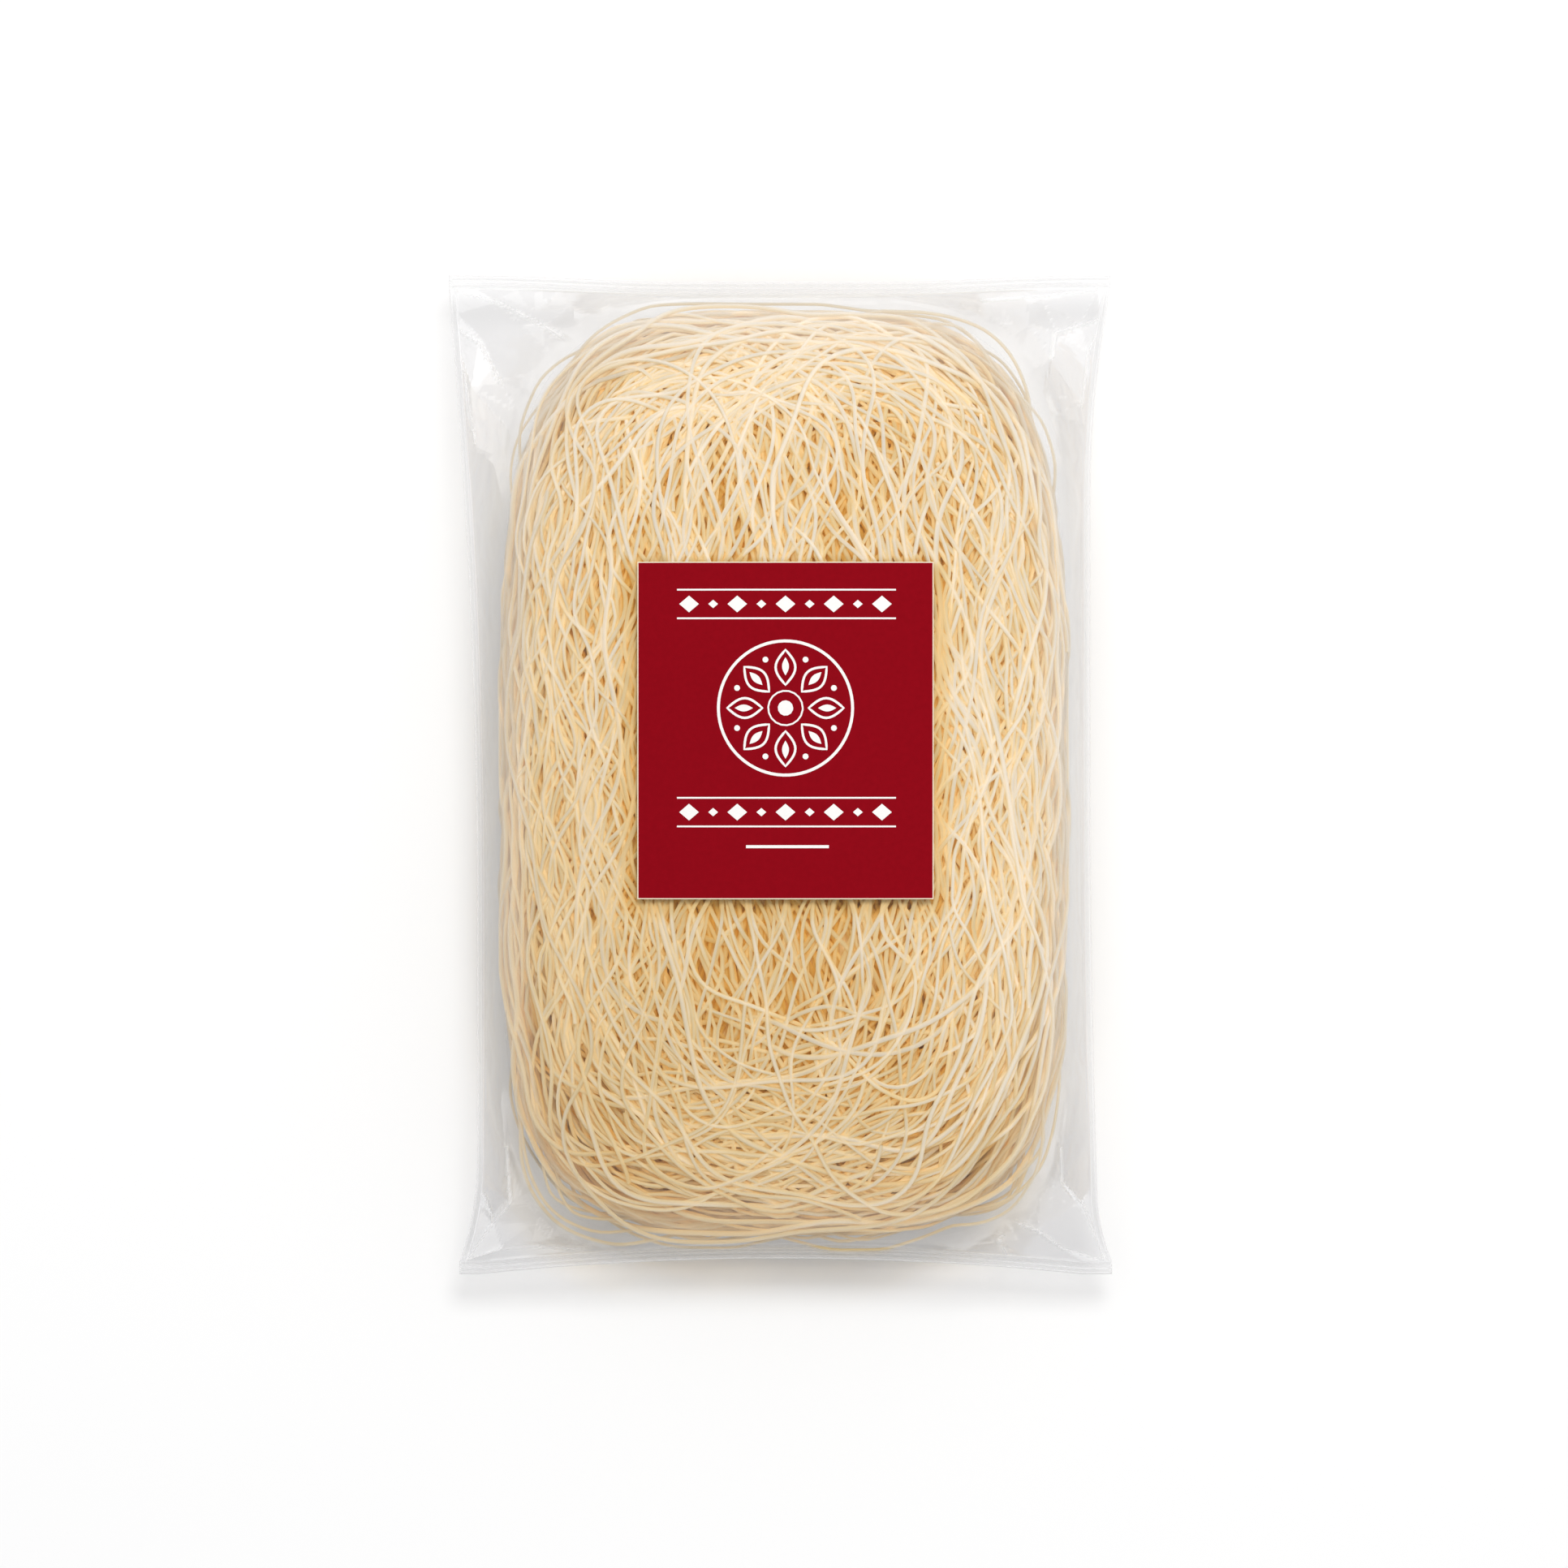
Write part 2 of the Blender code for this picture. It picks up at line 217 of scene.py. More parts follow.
class NoodleLook(bpy.types.PropertyGroup):
    """The dried noodles."""

    radius: FloatProperty(
        name="Radius", description="Half a noodle's thickness", default=0.5 * MM, unit="LENGTH")
    seed: IntProperty(name="Seed", description="Chooses how the noodles happen to lie", default=5)
    front_depth: FloatProperty(
        name="Front depth", description="Depth of loose noodles under the front film",
        default=5.2 * MM, unit="LENGTH")
    side_gap: FloatProperty(
        name="Side gap", description="Width of the loose rim at the sides of the dense noodles",
        default=2.1 * MM, unit="LENGTH")
    top_gap: FloatProperty(
        name="Top gap", description="Width of the loose rim beyond the top of the dense noodles",
        default=4.2 * MM, unit="LENGTH")
    bottom_gap: FloatProperty(
        name="Bottom gap", description="Width of the loose rim beyond the bottom of the dense noodles",
        default=8.0 * MM, unit="LENGTH")
    top_rounder: FloatProperty(
        name="Top roundness", description="How square the dense noodles' top corners are beside the film's",
        default=0.76)
    bottom_rounder: FloatProperty(
        name="Bottom roundness",
        description="How square the dense noodles' bottom corners are beside the film's", default=0.62)
    side_depth: FloatProperty(
        name="Side depth", description="Depth of loose noodles round the sides",
        default=5.0 * MM, unit="LENGTH")
    back_depth: FloatProperty(
        name="Back depth", description="Depth of loose noodles over the back film",
        default=4.0 * MM, unit="LENGTH")
    top_colour: FloatVectorProperty(
        name="Outer colour", description="Colour of the noodles next to the film",
        default=(0.87, 0.795, 0.675), subtype="COLOR")
    # Painted shade: the middle and deep colours make deeper noodles darker and more golden, for the light
    # lost and tinted on its way down through the noodles above.
    middle_shade_colour: FloatVectorProperty(
        name="Middle colour", description="Colour of noodles half way down",
        default=(0.84, 0.65, 0.35), subtype="COLOR")
    deep_shade_colour: FloatVectorProperty(
        name="Deep colour", description="Colour of the deepest noodles that show",
        default=(0.78, 0.46, 0.10), subtype="COLOR")
    translucency: FloatProperty(
        name="Translucency", description="Share of the light that goes through one wall of a noodle",
        default=0.9, subtype="FACTOR")
    passed_colour: FloatVectorProperty(
        name="Passed colour", description="Colour of the light that goes on through a wall of a noodle",
        default=(0.985, 0.89, 0.68), subtype="COLOR")
    glow_colour: FloatVectorProperty(
        name="Glow colour", description="Colour that a noodle glows in with the light behind it",
        default=(0.95, 0.89, 0.73), subtype="COLOR")
    glow: FloatProperty(
        name="Glow", description="Share of a noodle's light that comes through it from behind",
        default=0.2, subtype="FACTOR")
    loose_glow: FloatProperty(
        name="Loose glow", description="The same share for the noodles at the rim, with light all round",
        default=0.5, subtype="FACTOR")


class LabelLook(bpy.types.PropertyGroup):
    """The paper label and its print."""

    paper_colour: FloatVectorProperty(
        name="Face colour", description="Printed colour of the label's face",
        default=(0.235, 0.0026, 0.0078), subtype="COLOR")
    edge_colour: FloatVectorProperty(
        name="Edge colour", description="Bare paper at the label's cut edge",
        default=(0.82, 0.72, 0.56), subtype="COLOR")
    edge_width: FloatProperty(
        name="Edge width", description="Width of the bare paper that shows along the cut",
        default=0.2 * MM, unit="LENGTH")
    print_colour: FloatVectorProperty(
        name="Print colour", description="Colour of the ornament", default=(0.86, 0.84, 0.82),
        subtype="COLOR")
    ink: FloatProperty(
        name="Ink", description="How far the print stands up from the paper", default=0.04 * MM,
        unit="LENGTH")


class StageLook(bpy.types.PropertyGroup):
    """Floor, light and camera."""

    world_strength: FloatProperty(
        name="Sky", description="Strength of the plain light from all round", default=0.5)
    overhead_power: FloatProperty(
        name="Overhead light", description="Power of the large light straight above the bag",
        default=27.2, unit="POWER")
    key_power: FloatProperty(
        name="Key light", description="Power of the light beyond the bag's top right corner",
        default=20.5, unit="POWER")
    floor_white: FloatProperty(
        name="Floor", description="Share of the light that the floor gives back", default=0.905,
        subtype="FACTOR")
    gloss_sky: FloatProperty(
        name="Gloss sky", description="Brightness of the white panels that the film reflects",
        default=1.0)
    view_width: FloatProperty(
        name="View width", description="Width of what the camera sees at the seam's height",
        default=322 * MM, unit="LENGTH")
    lens: FloatProperty(
        name="Lens", description="Focal length, in millimetres", default=200.0)


def smooth(share):
    """0 to 1 with flat ends."""
    share = np.clip(share, 0.0, 1.0)
    return share * share * (3.0 - 2.0 * share)


def unit(vectors):
    """The same directions with length 1."""
    return vectors / np.maximum(np.linalg.norm(vectors, axis=-1, keepdims=True), 1e-12)


def flare(distance, flares):
    """How far a side edge stands out at this distance from a weld."""
    return sum(out * np.clip(1.0 - distance / reach, 0.0, None) ** 2 for out, reach in flares)


def side_edges(form, y):
    """X of the film's left and right edges at this Y."""
    from_top, from_bottom = form.half_length - y, form.half_length + y
    left = form.left_waist + flare(from_top, LEFT_TOP_FLARES) + flare(from_bottom, LEFT_BOTTOM_FLARES)
    right = form.right_waist + flare(from_top, RIGHT_TOP_FLARES) + flare(from_bottom, RIGHT_BOTTOM_FLARES)
    return -left, right


def end_edges(form, x):
    """Y of the film's bottom and top edges at this X."""
    top_dip = TOP_EDGE_DIP * (1.0 - smooth((np.abs(x) - TOP_DIP_FLAT) / (TOP_DIP_END - TOP_DIP_FLAT)))
    bottom_dip = BOTTOM_EDGE_DIP * (1.0 - np.minimum(1.0, np.abs(x) / form.left_waist) ** 2)
    return bottom_dip - form.half_length, form.half_length - top_dip


def film_point(form, u, v, inset_x=1.0, inset_y=1.0):
    """X and Y of the film at u across and v along, each -1 to 1. Inset 0 is the outer edge."""
    left, right = side_edges(form, v * form.half_length)
    left = left + inset_x * form.fold_width
    right = right - inset_x * form.fold_width
    x = left + (right - left) * (u + 1.0) / 2.0
    bottom, top = end_edges(form, x)
    reach = np.where(v > 0, top, -bottom) - inset_y * form.weld_height
    return x, v * reach


def bundle_ratio(form, x, y):
    """0 in the middle of the bundle and 1 on its outline."""
    across = np.abs(x - form.bundle_centre[0]) / form.bundle_half_width
    along = (y - form.bundle_centre[1]) / form.bundle_half_length
    power = np.where(along > 0, form.top_squareness, form.bottom_squareness)
    return (across**power + np.abs(along) ** power) ** (1.0 / power)


def bundle_rise(form, x, y, height, fullness):
    """How far the bundle's surface stands above or below the seam."""
    ratio = np.minimum(bundle_ratio(form, x, y), 1.0)
    return height * (1.0 - ratio**fullness) ** (1.0 / fullness)


def film_rise(form, u, v, height, fullness):
    """How far the film stands from the seam: on the bundle, then straight to the weld or fold."""
    ring = np.maximum(np.maximum(np.abs(u), np.abs(v)), 1e-6)
    steepest, touch = np.zeros_like(ring), np.zeros_like(ring)
    for share in np.arange(RAY_SAMPLES) / RAY_SAMPLES:
        x, y = film_point(form, u / ring * share, v / ring * share)
        slope = bundle_rise(form, x, y, height, fullness) / (1.0 - share)
        touch = np.where(slope > steepest, share, touch)
        steepest = np.maximum(slope, steepest)
    on_bundle = bundle_rise(form, *film_point(form, u, v), height, fullness)
    return np.where(ring > touch, steepest * np.clip(1.0 - ring, 0.0, 1.0), on_bundle)


def film_stand(form, u, v, facing):
    """How far the film's own surface stands from the seam: outside the solid, but closed at the rim."""
    height, fullness = (
        (form.front_rise, form.front_fullness) if facing > 0 else (form.back_drop, form.back_fullness))
    inside = np.clip(1.0 - np.maximum(np.abs(u), np.abs(v)), 0.0, 1.0)
    at_rim = FILM_GAP_AT_RIM / 2
    gap = at_rim + (SOLID_RIM + FILM_OVER_SOLID - at_rim) * smooth(inside / RIM_BLEND)
    return np.where(inside > 0.0, film_rise(form, u, v, height, fullness) + gap, at_rim)


def seam_at(form, x, y):
    """Height above the floor of the middle of the welds and folds."""
    along, across = np.abs(y) / form.half_length, np.abs(x) / form.left_waist
    return form.seam_height - END_SAG * along**6 - CORNER_SAG * along**8 * across**2


def slackness(form, x, y):
    """0 where noodles stretch the film, and 1 where it hangs slack between them and the rim."""
    return smooth((bundle_ratio(form, x, y) - SLACK_START) / (SLACK_END - SLACK_START))


def fold_lines(form):
    """The long folds that run in from each corner: places seen from above, and their lifts."""
    for (side, end), lines in FOLDS.items():
        corner = np.array(film_point(form, float(side), float(end)))
        for line in lines:
            inward = np.array(line) * MM
            yield corner - inward[:, :2] * (side, end), inward[:, 2]


def draw_to_folds(form, x, y, share):
    """Draws points of a sheet's grid onto the folds that pass them, so that each fold stays sharp.
    Returns their new X and Y, and which points are on a fold."""
    wide, high = np.abs(np.gradient(x, axis=1)) + 1e-9, np.abs(np.gradient(y, axis=0)) + 1e-9
    creased = np.zeros(x.shape)
    for places, _ in fold_lines(form):
        for start, end in zip(places, places[1:]):
            ahead = end - start
            along = ((x - start[0]) * ahead[0] + (y - start[1]) * ahead[1]) / (ahead**2).sum()
            along = np.clip(along, 0.0, 1.0)
            on_x, on_y = start[0] + along * ahead[0], start[1] + along * ahead[1]
            near = (np.hypot((x - on_x) / wide, (y - on_y) / high) < 0.5) & (share > FACETED)
            x, y = np.where(near, on_x, x), np.where(near, on_y, y)
            creased[near] = 1.0
    return x, y, creased


class Folds:
    """Points of the slack film's flat facets, as X, Y and how far each is lifted off the smooth film."""

    def __init__(self, form):
        self.form = form
        self.places, self.lifts, self.ridges = [], [], []

    def add(self, x, y, lift=0.0, spacing=0.0):
        """Adds a point unless another is nearer than the spacing."""
        if spacing and (np.hypot(*(np.array(self.places) - (x, y)).T) < spacing).any():
            return
        self.places.append((x, y))
        self.lifts.append(lift)

    def add_rim(self):
        """Fixed points along the welds and side folds and round the bundle."""
        form = self.form
        for side in (-1.0, 1.0):
            for v in np.arange(-1.0, 1.0, RIM_SPACING / form.half_length):
                self.add(*film_point(form, side, v))
            for u in np.arange(-1.0, 1.0, RIM_SPACING / form.left_waist):
                self.add(*film_point(form, u, side))
            self.add(*film_point(form, 1.0, side))
        for share in RIM_RINGS:
            for turn in np.arange(0.0, 2 * math.pi, RIM_SPACING / form.bundle_half_length):
                ray = np.array([math.cos(turn), math.sin(turn)])
                place = ray * share / bundle_ratio(form, *(np.array(form.bundle_centre) + ray))
                self.add(*(np.array(form.bundle_centre) + place), spacing=RIM_SPACING / 3)

    def add_ridges(self, flip):
        """The long folds that run in from each corner."""
        for places, lifts in fold_lines(self.form):
            self.add_ridge(places, flip * lifts)
            ahead = places[-1] - places[0]
            across = np.array([-ahead[1], ahead[0]]) / np.hypot(*ahead) * PINCH[0]
            self.add_ridge(places[1:-1] + across, flip * (lifts[1:-1] - PINCH[1]))

    def add_ridge(self, places, lifts):
        """One fold: points that stay joined by an edge."""
        start = len(self.places)
        for (x, y), lift in zip(places, lifts):
            self.add(x, y, lift)
        self.ridges += [(k, k + 1) for k in range(start, len(self.places) - 1)]

    def add_crumples(self, draw):
        """Small random dents between the folds and along the welds."""
        for side in (-1, 1):
            for end in (-1, 1):
                corner_x, corner_y = film_point(self.form, float(side), float(end))
                for _ in range(CORNER_TRIES):
                    in_x, in_y = draw.uniform(*CORNER_AREA, 2)
                    self.add(corner_x - side * in_x, corner_y - end * in_y,
                             draw.uniform(*CORNER_BENDS), CORNER_SPACING)
        for end, bends in BAND_BENDS.items():
            for _ in range(BAND_TRIES):
                x, y = film_point(self.form, draw.uniform(-BAND_REACH, BAND_REACH), float(end))
                self.add(x, y - end * draw.uniform(*BAND_AREA), draw.uniform(*bends), BAND_SPACING)

    def tree(self, facing):
        """The facets in a search tree."""
        form = self.form
        x, y = np.array(self.places).T
        left, right = side_edges(form, y)
        u = np.clip(2.0 * (x - left) / (right - left) - 1.0, -1.0, 1.0)
        bottom, top = end_edges(form, x)
        v = np.clip(np.where(y > 0, y / top, -y / bottom), -1.0, 1.0)
        lift = np.array(self.lifts) * slackness(form, x, y)
        height = seam_at(form, x, y) + facing * np.maximum(film_stand(form, u, v, facing) + lift, 0.0)
        flat = [Vector(place) for place in self.places]
        points, _, triangles, sources, *_ = delaunay_2d_cdt(flat, self.ridges, [], 0, 1e-6)
        raised = [(point.x, point.y, height[source[0]] if source else form.seam_height)
                  for point, source in zip(points, sources)]
        return BVHTree.FromPolygons(raised, triangles)


def facets(form, draw, facing):
    """The slack film at the ends as flat facets, in a search tree."""
    folds = Folds(form)
    folds.add_rim()
    folds.add_ridges(1.0 if facing > 0 else BACK_FOLDS)
    folds.add_crumples(draw)
    return folds.tree(facing)


def crumple(tree, x, y, z, share):
    """The film's height with its facets taken over by this share."""
    down = Vector((0.0, 0.0, -1.0))
    crumpled = z.copy()
    for index in zip(*np.nonzero(share)):
        place, *_ = tree.ray_cast(Vector((x[index], y[index], 1.0)), down)
        if place is not None:
            crumpled[index] += (place.z - z[index]) * share[index]
    return crumpled


class Heap:
    """The bundle of noodles as a rounded block, shrunk by an inset on all sides."""

    def __init__(self, form, inset, side_inset, end_insets, rounder, rest):
        top_inset, bottom_inset = end_insets
        self.centre = np.array([*form.bundle_centre, form.seam_height])
        self.centre[1] += (bottom_inset - top_inset) / 2
        self.half = np.array([form.bundle_half_width - side_inset,
                              form.bundle_half_length - (top_inset + bottom_inset) / 2])
        self.rise = form.front_rise - inset
        self.drop = form.back_drop - inset
        self.fullness = (form.front_fullness, form.back_fullness)
        self.squareness = (form.top_squareness * rounder[0], form.bottom_squareness * rounder[1])
        self.rest = rest

    def shape(self, points):
        """For each point: its level (1 on the surface), its outline ratio and both gradients."""
        away = points - self.centre
        front = away[:, 2] > 0
        height = np.where(front, self.rise, self.drop)
        full = np.where(front, *self.fullness)
        square = np.where(away[:, 1] > 0, *self.squareness)
        a = np.abs(away[:, 0]) / self.half[0] + 1e-9
        b = np.abs(away[:, 1]) / self.half[1] + 1e-9
        c = np.abs(away[:, 2]) / height + 1e-9
        ratio = (a**square + b**square) ** (1.0 / square)
        level = (ratio**full + c**full) ** (1.0 / full)
        sign = np.sign(away)
        slope_x = ratio ** (1.0 - square) * a ** (square - 1.0) * sign[:, 0] / self.half[0]
        slope_y = ratio ** (1.0 - square) * b ** (square - 1.0) * sign[:, 1] / self.half[1]
        share = level ** (1.0 - full) * ratio ** (full - 1.0)
        slope_z = level ** (1.0 - full) * c ** (full - 1.0) * sign[:, 2] / height
        gradient = np.stack([share * slope_x, share * slope_y, slope_z], axis=1)
        return level, ratio, gradient, np.stack([slope_x, slope_y], axis=1)

    def settle(self, points):
        """Moves points near the surface onto it, and no lower than where the floor presses it."""
        for _ in range(2):
            level, _, gradient, _ = self.shape(points)
            size = np.maximum((gradient**2).sum(axis=1), 1.0)
            points = points - ((level - 1.0) / size)[:, None] * gradient
        points[:, 2] = np.maximum(points[:, 2], self.rest)
        return points

    def on_face(self, x, y, facing):
        """Points of the front (facing 1) or the back (facing -1) at these X and Y."""
        far = np.where(facing > 0, self.rise, self.drop)
        full = np.where(facing > 0, *self.fullness)
        points = np.stack([x, y, np.full_like(x, self.centre[2])], axis=1)
        ratio = np.minimum(self.shape(points)[1], 0.999)
        points[:, 2] += facing * far * (1.0 - ratio**full) ** (1.0 / full)
        return self.settle(points)

    def on_side(self, angle, height):
        """Points of the flank at these angles round the bundle and heights from the seam."""
        ray = np.stack([np.cos(angle) * self.half[0], np.sin(angle) * self.half[1], 0 * angle], axis=1)
        far = np.where(height > 0, self.rise, self.drop)
        full = np.where(height > 0, *self.fullness)
        ratio = (1.0 - (np.abs(height) / far) ** full) ** (1.0 / full)
        scale = ratio / self.shape(self.centre + ray)[1]
        points = self.centre + ray * scale[:, None]
        points[:, 2] += height
        return self.settle(points)


class Finish:
    """A material's or the sky's node tree, put together in short calls."""

    def __init__(self, tree):
        self.nodes, self.links = tree.nodes, tree.links

    def put(self, socket, value):
        """Links another node's output to a socket, or sets the socket to a plain value."""
        if isinstance(value, bpy.types.NodeSocket):
            self.links.new(value, socket)
        else:
            socket.default_value = (*value, 1.0) if socket.type == "RGBA" else value

    def add(self, kind, inputs=None, **settings):
        """A new node with these settings and inputs. Returns its outputs."""
        made = self.nodes.new("ShaderNode" + kind)
        for key, value in settings.items():
            setattr(made, key, value)
        for key, value in (inputs or {}).items():
            self.put(made.inputs[key], value)
        return made.outputs

    def math(self, operation, *values):
        """The result of arithmetic on numbers."""
        return self.add("Math", dict(enumerate(values)), operation=operation)[0]

    def vector(self, operation, *values):
        """The result of arithmetic on vectors."""
        return self.add("VectorMath", dict(enumerate(values)), operation=operation)["Vector"]

    def scaled(self, colour, scale):
        """A colour times a number."""
        return self.add("VectorMath", {0: colour, "Scale": scale}, operation="SCALE")["Vector"]

    def attribute(self, name):
        """A number that is stored at each point of the mesh."""
        return self.add("Attribute", attribute_name=name)["Fac"]

    def blend(self, share, first, second):
        """A colour between two others."""
        return self.add("Mix", {0: share, 6: first, 7: second}, data_type="RGBA")[2]

    def mix(self, share, first, second):
        """A shader between two others."""
        return self.add("MixShader", {0: share, 1: first, 2: second})["Shader"]

    def span(self, value, low, high):
        """A number from 0 to 1, spread from low to high."""
        return self.add("MapRange", {"Value": value, "To Min": low, "To Max": high})["Result"]

    def noise(self, place, scale, detail, distortion=0.0):
        """A noise in space, 0 to 1."""
        inputs = {"Vector": place, "Scale": scale, "Detail": detail, "Distortion": distortion}
        return self.add("TexNoise", inputs)["Fac"]

    def ramp(self, value, stops, interpolation="LINEAR"):
        """The colour at a number, from stops of (position, colour)."""
        made = self.nodes.new("ShaderNodeValToRGB")
        made.color_ramp.interpolation = interpolation
        ends = made.color_ramp.elements
        for stop, (position, colour) in ((ends[0], stops[0]), (ends[1], stops[-1])):
            stop.position, stop.color = position, (*colour, 1.0)
        for position, colour in stops[1:-1]:
            ends.new(position).color = (*colour, 1.0)
        self.put(made.inputs["Fac"], value)
        return made.outputs["Color"]

    def principled(self, inputs):
        """Sets inputs of the tree's own shader and returns its output."""
        shader = self.nodes["Principled BSDF"]
        for key, value in inputs.items():
            self.put(shader.inputs[key], value)
        return shader.outputs["BSDF"]

    def surface(self, shader):
        """Shows this shader."""
        self.put(self.nodes["Material Output"].inputs["Surface"], shader)


def material(name):
    """A new material and its finish."""
    made = bpy.data.materials.new(name)
    made.use_nodes = True
    return made, Finish(made.node_tree)


def mesh_of(name, points, corner_counts, corners):
    """A smooth-shaded object from arrays of points, corners per face and corner indices."""
    mesh = bpy.data.meshes.new(name)
    mesh.vertices.add(len(points))
    mesh.vertices.foreach_set("co", np.ascontiguousarray(points, np.float32).ravel())
    mesh.loops.add(len(corners))
    mesh.loops.foreach_set("vertex_index", np.ascontiguousarray(corners, np.int32))
    mesh.polygons.add(len(corner_counts))
    starts = np.concatenate([[0], np.cumsum(corner_counts)[:-1]])
    mesh.polygons.foreach_set("loop_start", starts.astype(np.int32))
    mesh.polygons.foreach_set("loop_total", np.asarray(corner_counts, np.int32))
    mesh.update(calc_edges=True)
    mesh.validate()
    mesh.shade_smooth()
    made = bpy.data.objects.new(name, mesh)
    bpy.context.scene.collection.objects.link(made)
    return made


def store(made, name, values):
    """Keeps one number for each point of a mesh, for its material."""
    attribute = made.data.attributes.new(name, "FLOAT", "POINT")
    attribute.data.foreach_set("value", np.ascontiguousarray(values, np.float32))


# ---------------------------------------------------------------- film

# Fine ridges across a weld and a side fold, from the outside in, and how milky each line is.
WELD_RIDGES = (0, 0, 1, 0, 0, 1, 0, 1, 0)
WELD_FROST = (0.75, 0.16, 0.3, 0.12, 0.14, 0.32, 0.12, 0.3, 0.16)
FOLD_RIDGES = (0, 0, 1, 0)
FOLD_FROST = (0.3, 0.1, 0.16, 0.06)
RIDGE = 0.13 * MM
# Milky line along each crease: partly the film's whitened stress line, partly a painted highlight along the
# fold.
CREASE_FROST_AND_GLINT = 0.4

# Painted sheen on the taut film's rim, a milky white that stands in for its reflection there: how strong it
# is at the sides and top and at the bottom, where it starts, is strongest and ends, as shares of the bundle's
# outline, and how far down it thins out.
RIM_PAINTED_SHEEN = (0.25, 0.12)
SHEEN_BAND = (0.84, 0.97, 1.05)
SHEEN_FADE = 60 * MM

# Shares of the gloss: what light that goes on to other things misses, and what a sheet's inner face
# and taut film keep.
FILM_SHADOW_CUT = 0.5
INNER_GLOSS = 0.5
TAUT_GLOSS = 0.6

# Where the slack film takes its darker tint, as distances from the middle, and how much less so at the top:
# painted shade, deepest at the bottom, with a little for crumpling.
SLACK_SHADE_FROM = 55 * MM
SLACK_SHADE_TO = 95 * MM
SLACK_SHADE_AT_TOP = 0.3

# How much closer the grid's lines are at the edges, and from which share on a cell is a flat facet.
EDGE_DENSITY = 0.68
FACETED = 0.9

# The film's distance from its other sheet at the rim and from the solid elsewhere, and how soon one
# becomes the other.
FILM_GAP_AT_RIM = 0.12 * MM
FILM_OVER_SOLID = 0.1 * MM
SOLID_RIM = 0.35 * MM
RIM_BLEND = 0.1


def painted_rim_sheen(form, x, y):
    """Painted sheen: how milky white the taut film is made where it curves down round the bundle, in place of
    its reflection there; least at the bottom.
    """
    ratio = bundle_ratio(form, x, y)
    band = smooth((ratio - SHEEN_BAND[0]) / (SHEEN_BAND[1] - SHEEN_BAND[0]))
    band = band * (1.0 - smooth((ratio - SHEEN_BAND[1]) / (SHEEN_BAND[2] - SHEEN_BAND[1])))
    low = smooth(0.5 - (y + SHEEN_FADE) / SHEEN_FADE)
    return band * (RIM_PAINTED_SHEEN[0] + (RIM_PAINTED_SHEEN[1] - RIM_PAINTED_SHEEN[0]) * low)


def grid_lines(count, edge_lines):
    """Places across a sheet, -1 to 1, closer at its edges, and the inset of the lines on the rim."""
    share = np.linspace(-1.0, 1.0, count + 1)
    inner = share + (np.sin(np.pi / 2 * share) - share) * EDGE_DENSITY
    rim = np.linspace(0.0, 1.0, edge_lines, endpoint=False)
    places = np.concatenate([np.full(edge_lines, -1.0), inner, np.full(edge_lines, 1.0)])
    insets = np.concatenate([rim, np.ones(count + 1), rim[::-1]])
    return places, insets


def film_grid(form, look):
    """For a sheet's points, as grids of rows and columns: U, V, X, Y, how far the slack film's facets
    shape each, and which are on a fold."""
    u_line, x_inset = grid_lines(look.columns, len(FOLD_RIDGES))
    v_line, y_inset = grid_lines(look.rows, len(WELD_RIDGES))
    u, v = np.meshgrid(u_line, v_line)
    x, y = film_point(form, u, v, *np.meshgrid(x_inset, y_inset))
    corner = smooth((np.abs(y) - form.half_length + CORNER_REACH) / (CORNER_FADE * CORNER_REACH))
    share = slackness(form, x, y) * corner * (np.maximum(np.abs(u), np.abs(v)) < 1.0)
    x, y, creased = draw_to_folds(form, x, y, share)
    return u, v, x, y, share, creased


def in_facets(share):
    """True for each cell of a sheet that lies in the flat facets."""
    share = share > FACETED
    return (share[:-1, :-1] & share[:-1, 1:] & share[1:, 1:] & share[1:, :-1]).ravel()


def over_grid(look, in_welds, in_folds):
    """For every point of a sheet: the value of its line in the welds or side folds, and 0 elsewhere."""
    across = np.concatenate([in_welds, np.zeros(look.rows + 1), in_welds[::-1]])
    along = np.concatenate([in_folds, np.zeros(look.columns + 1), in_folds[::-1]])
    return np.maximum(across[:, None], along[None, :])


def film_sheet(form, look, grid, facing, draw):
    """Points of one sheet."""
    u, v, x, y, share, _ = grid
    z = seam_at(form, x, y) + facing * film_stand(form, u, v, facing)
    z = crumple(facets(form, draw, facing), x, y, z, share)
    z = z + RIDGE * over_grid(look, WELD_RIDGES, FOLD_RIDGES)
    if facing < 0:
        z = np.maximum(z, FILM_GAP_AT_RIM)
    return np.stack([x, y, z], axis=-1)


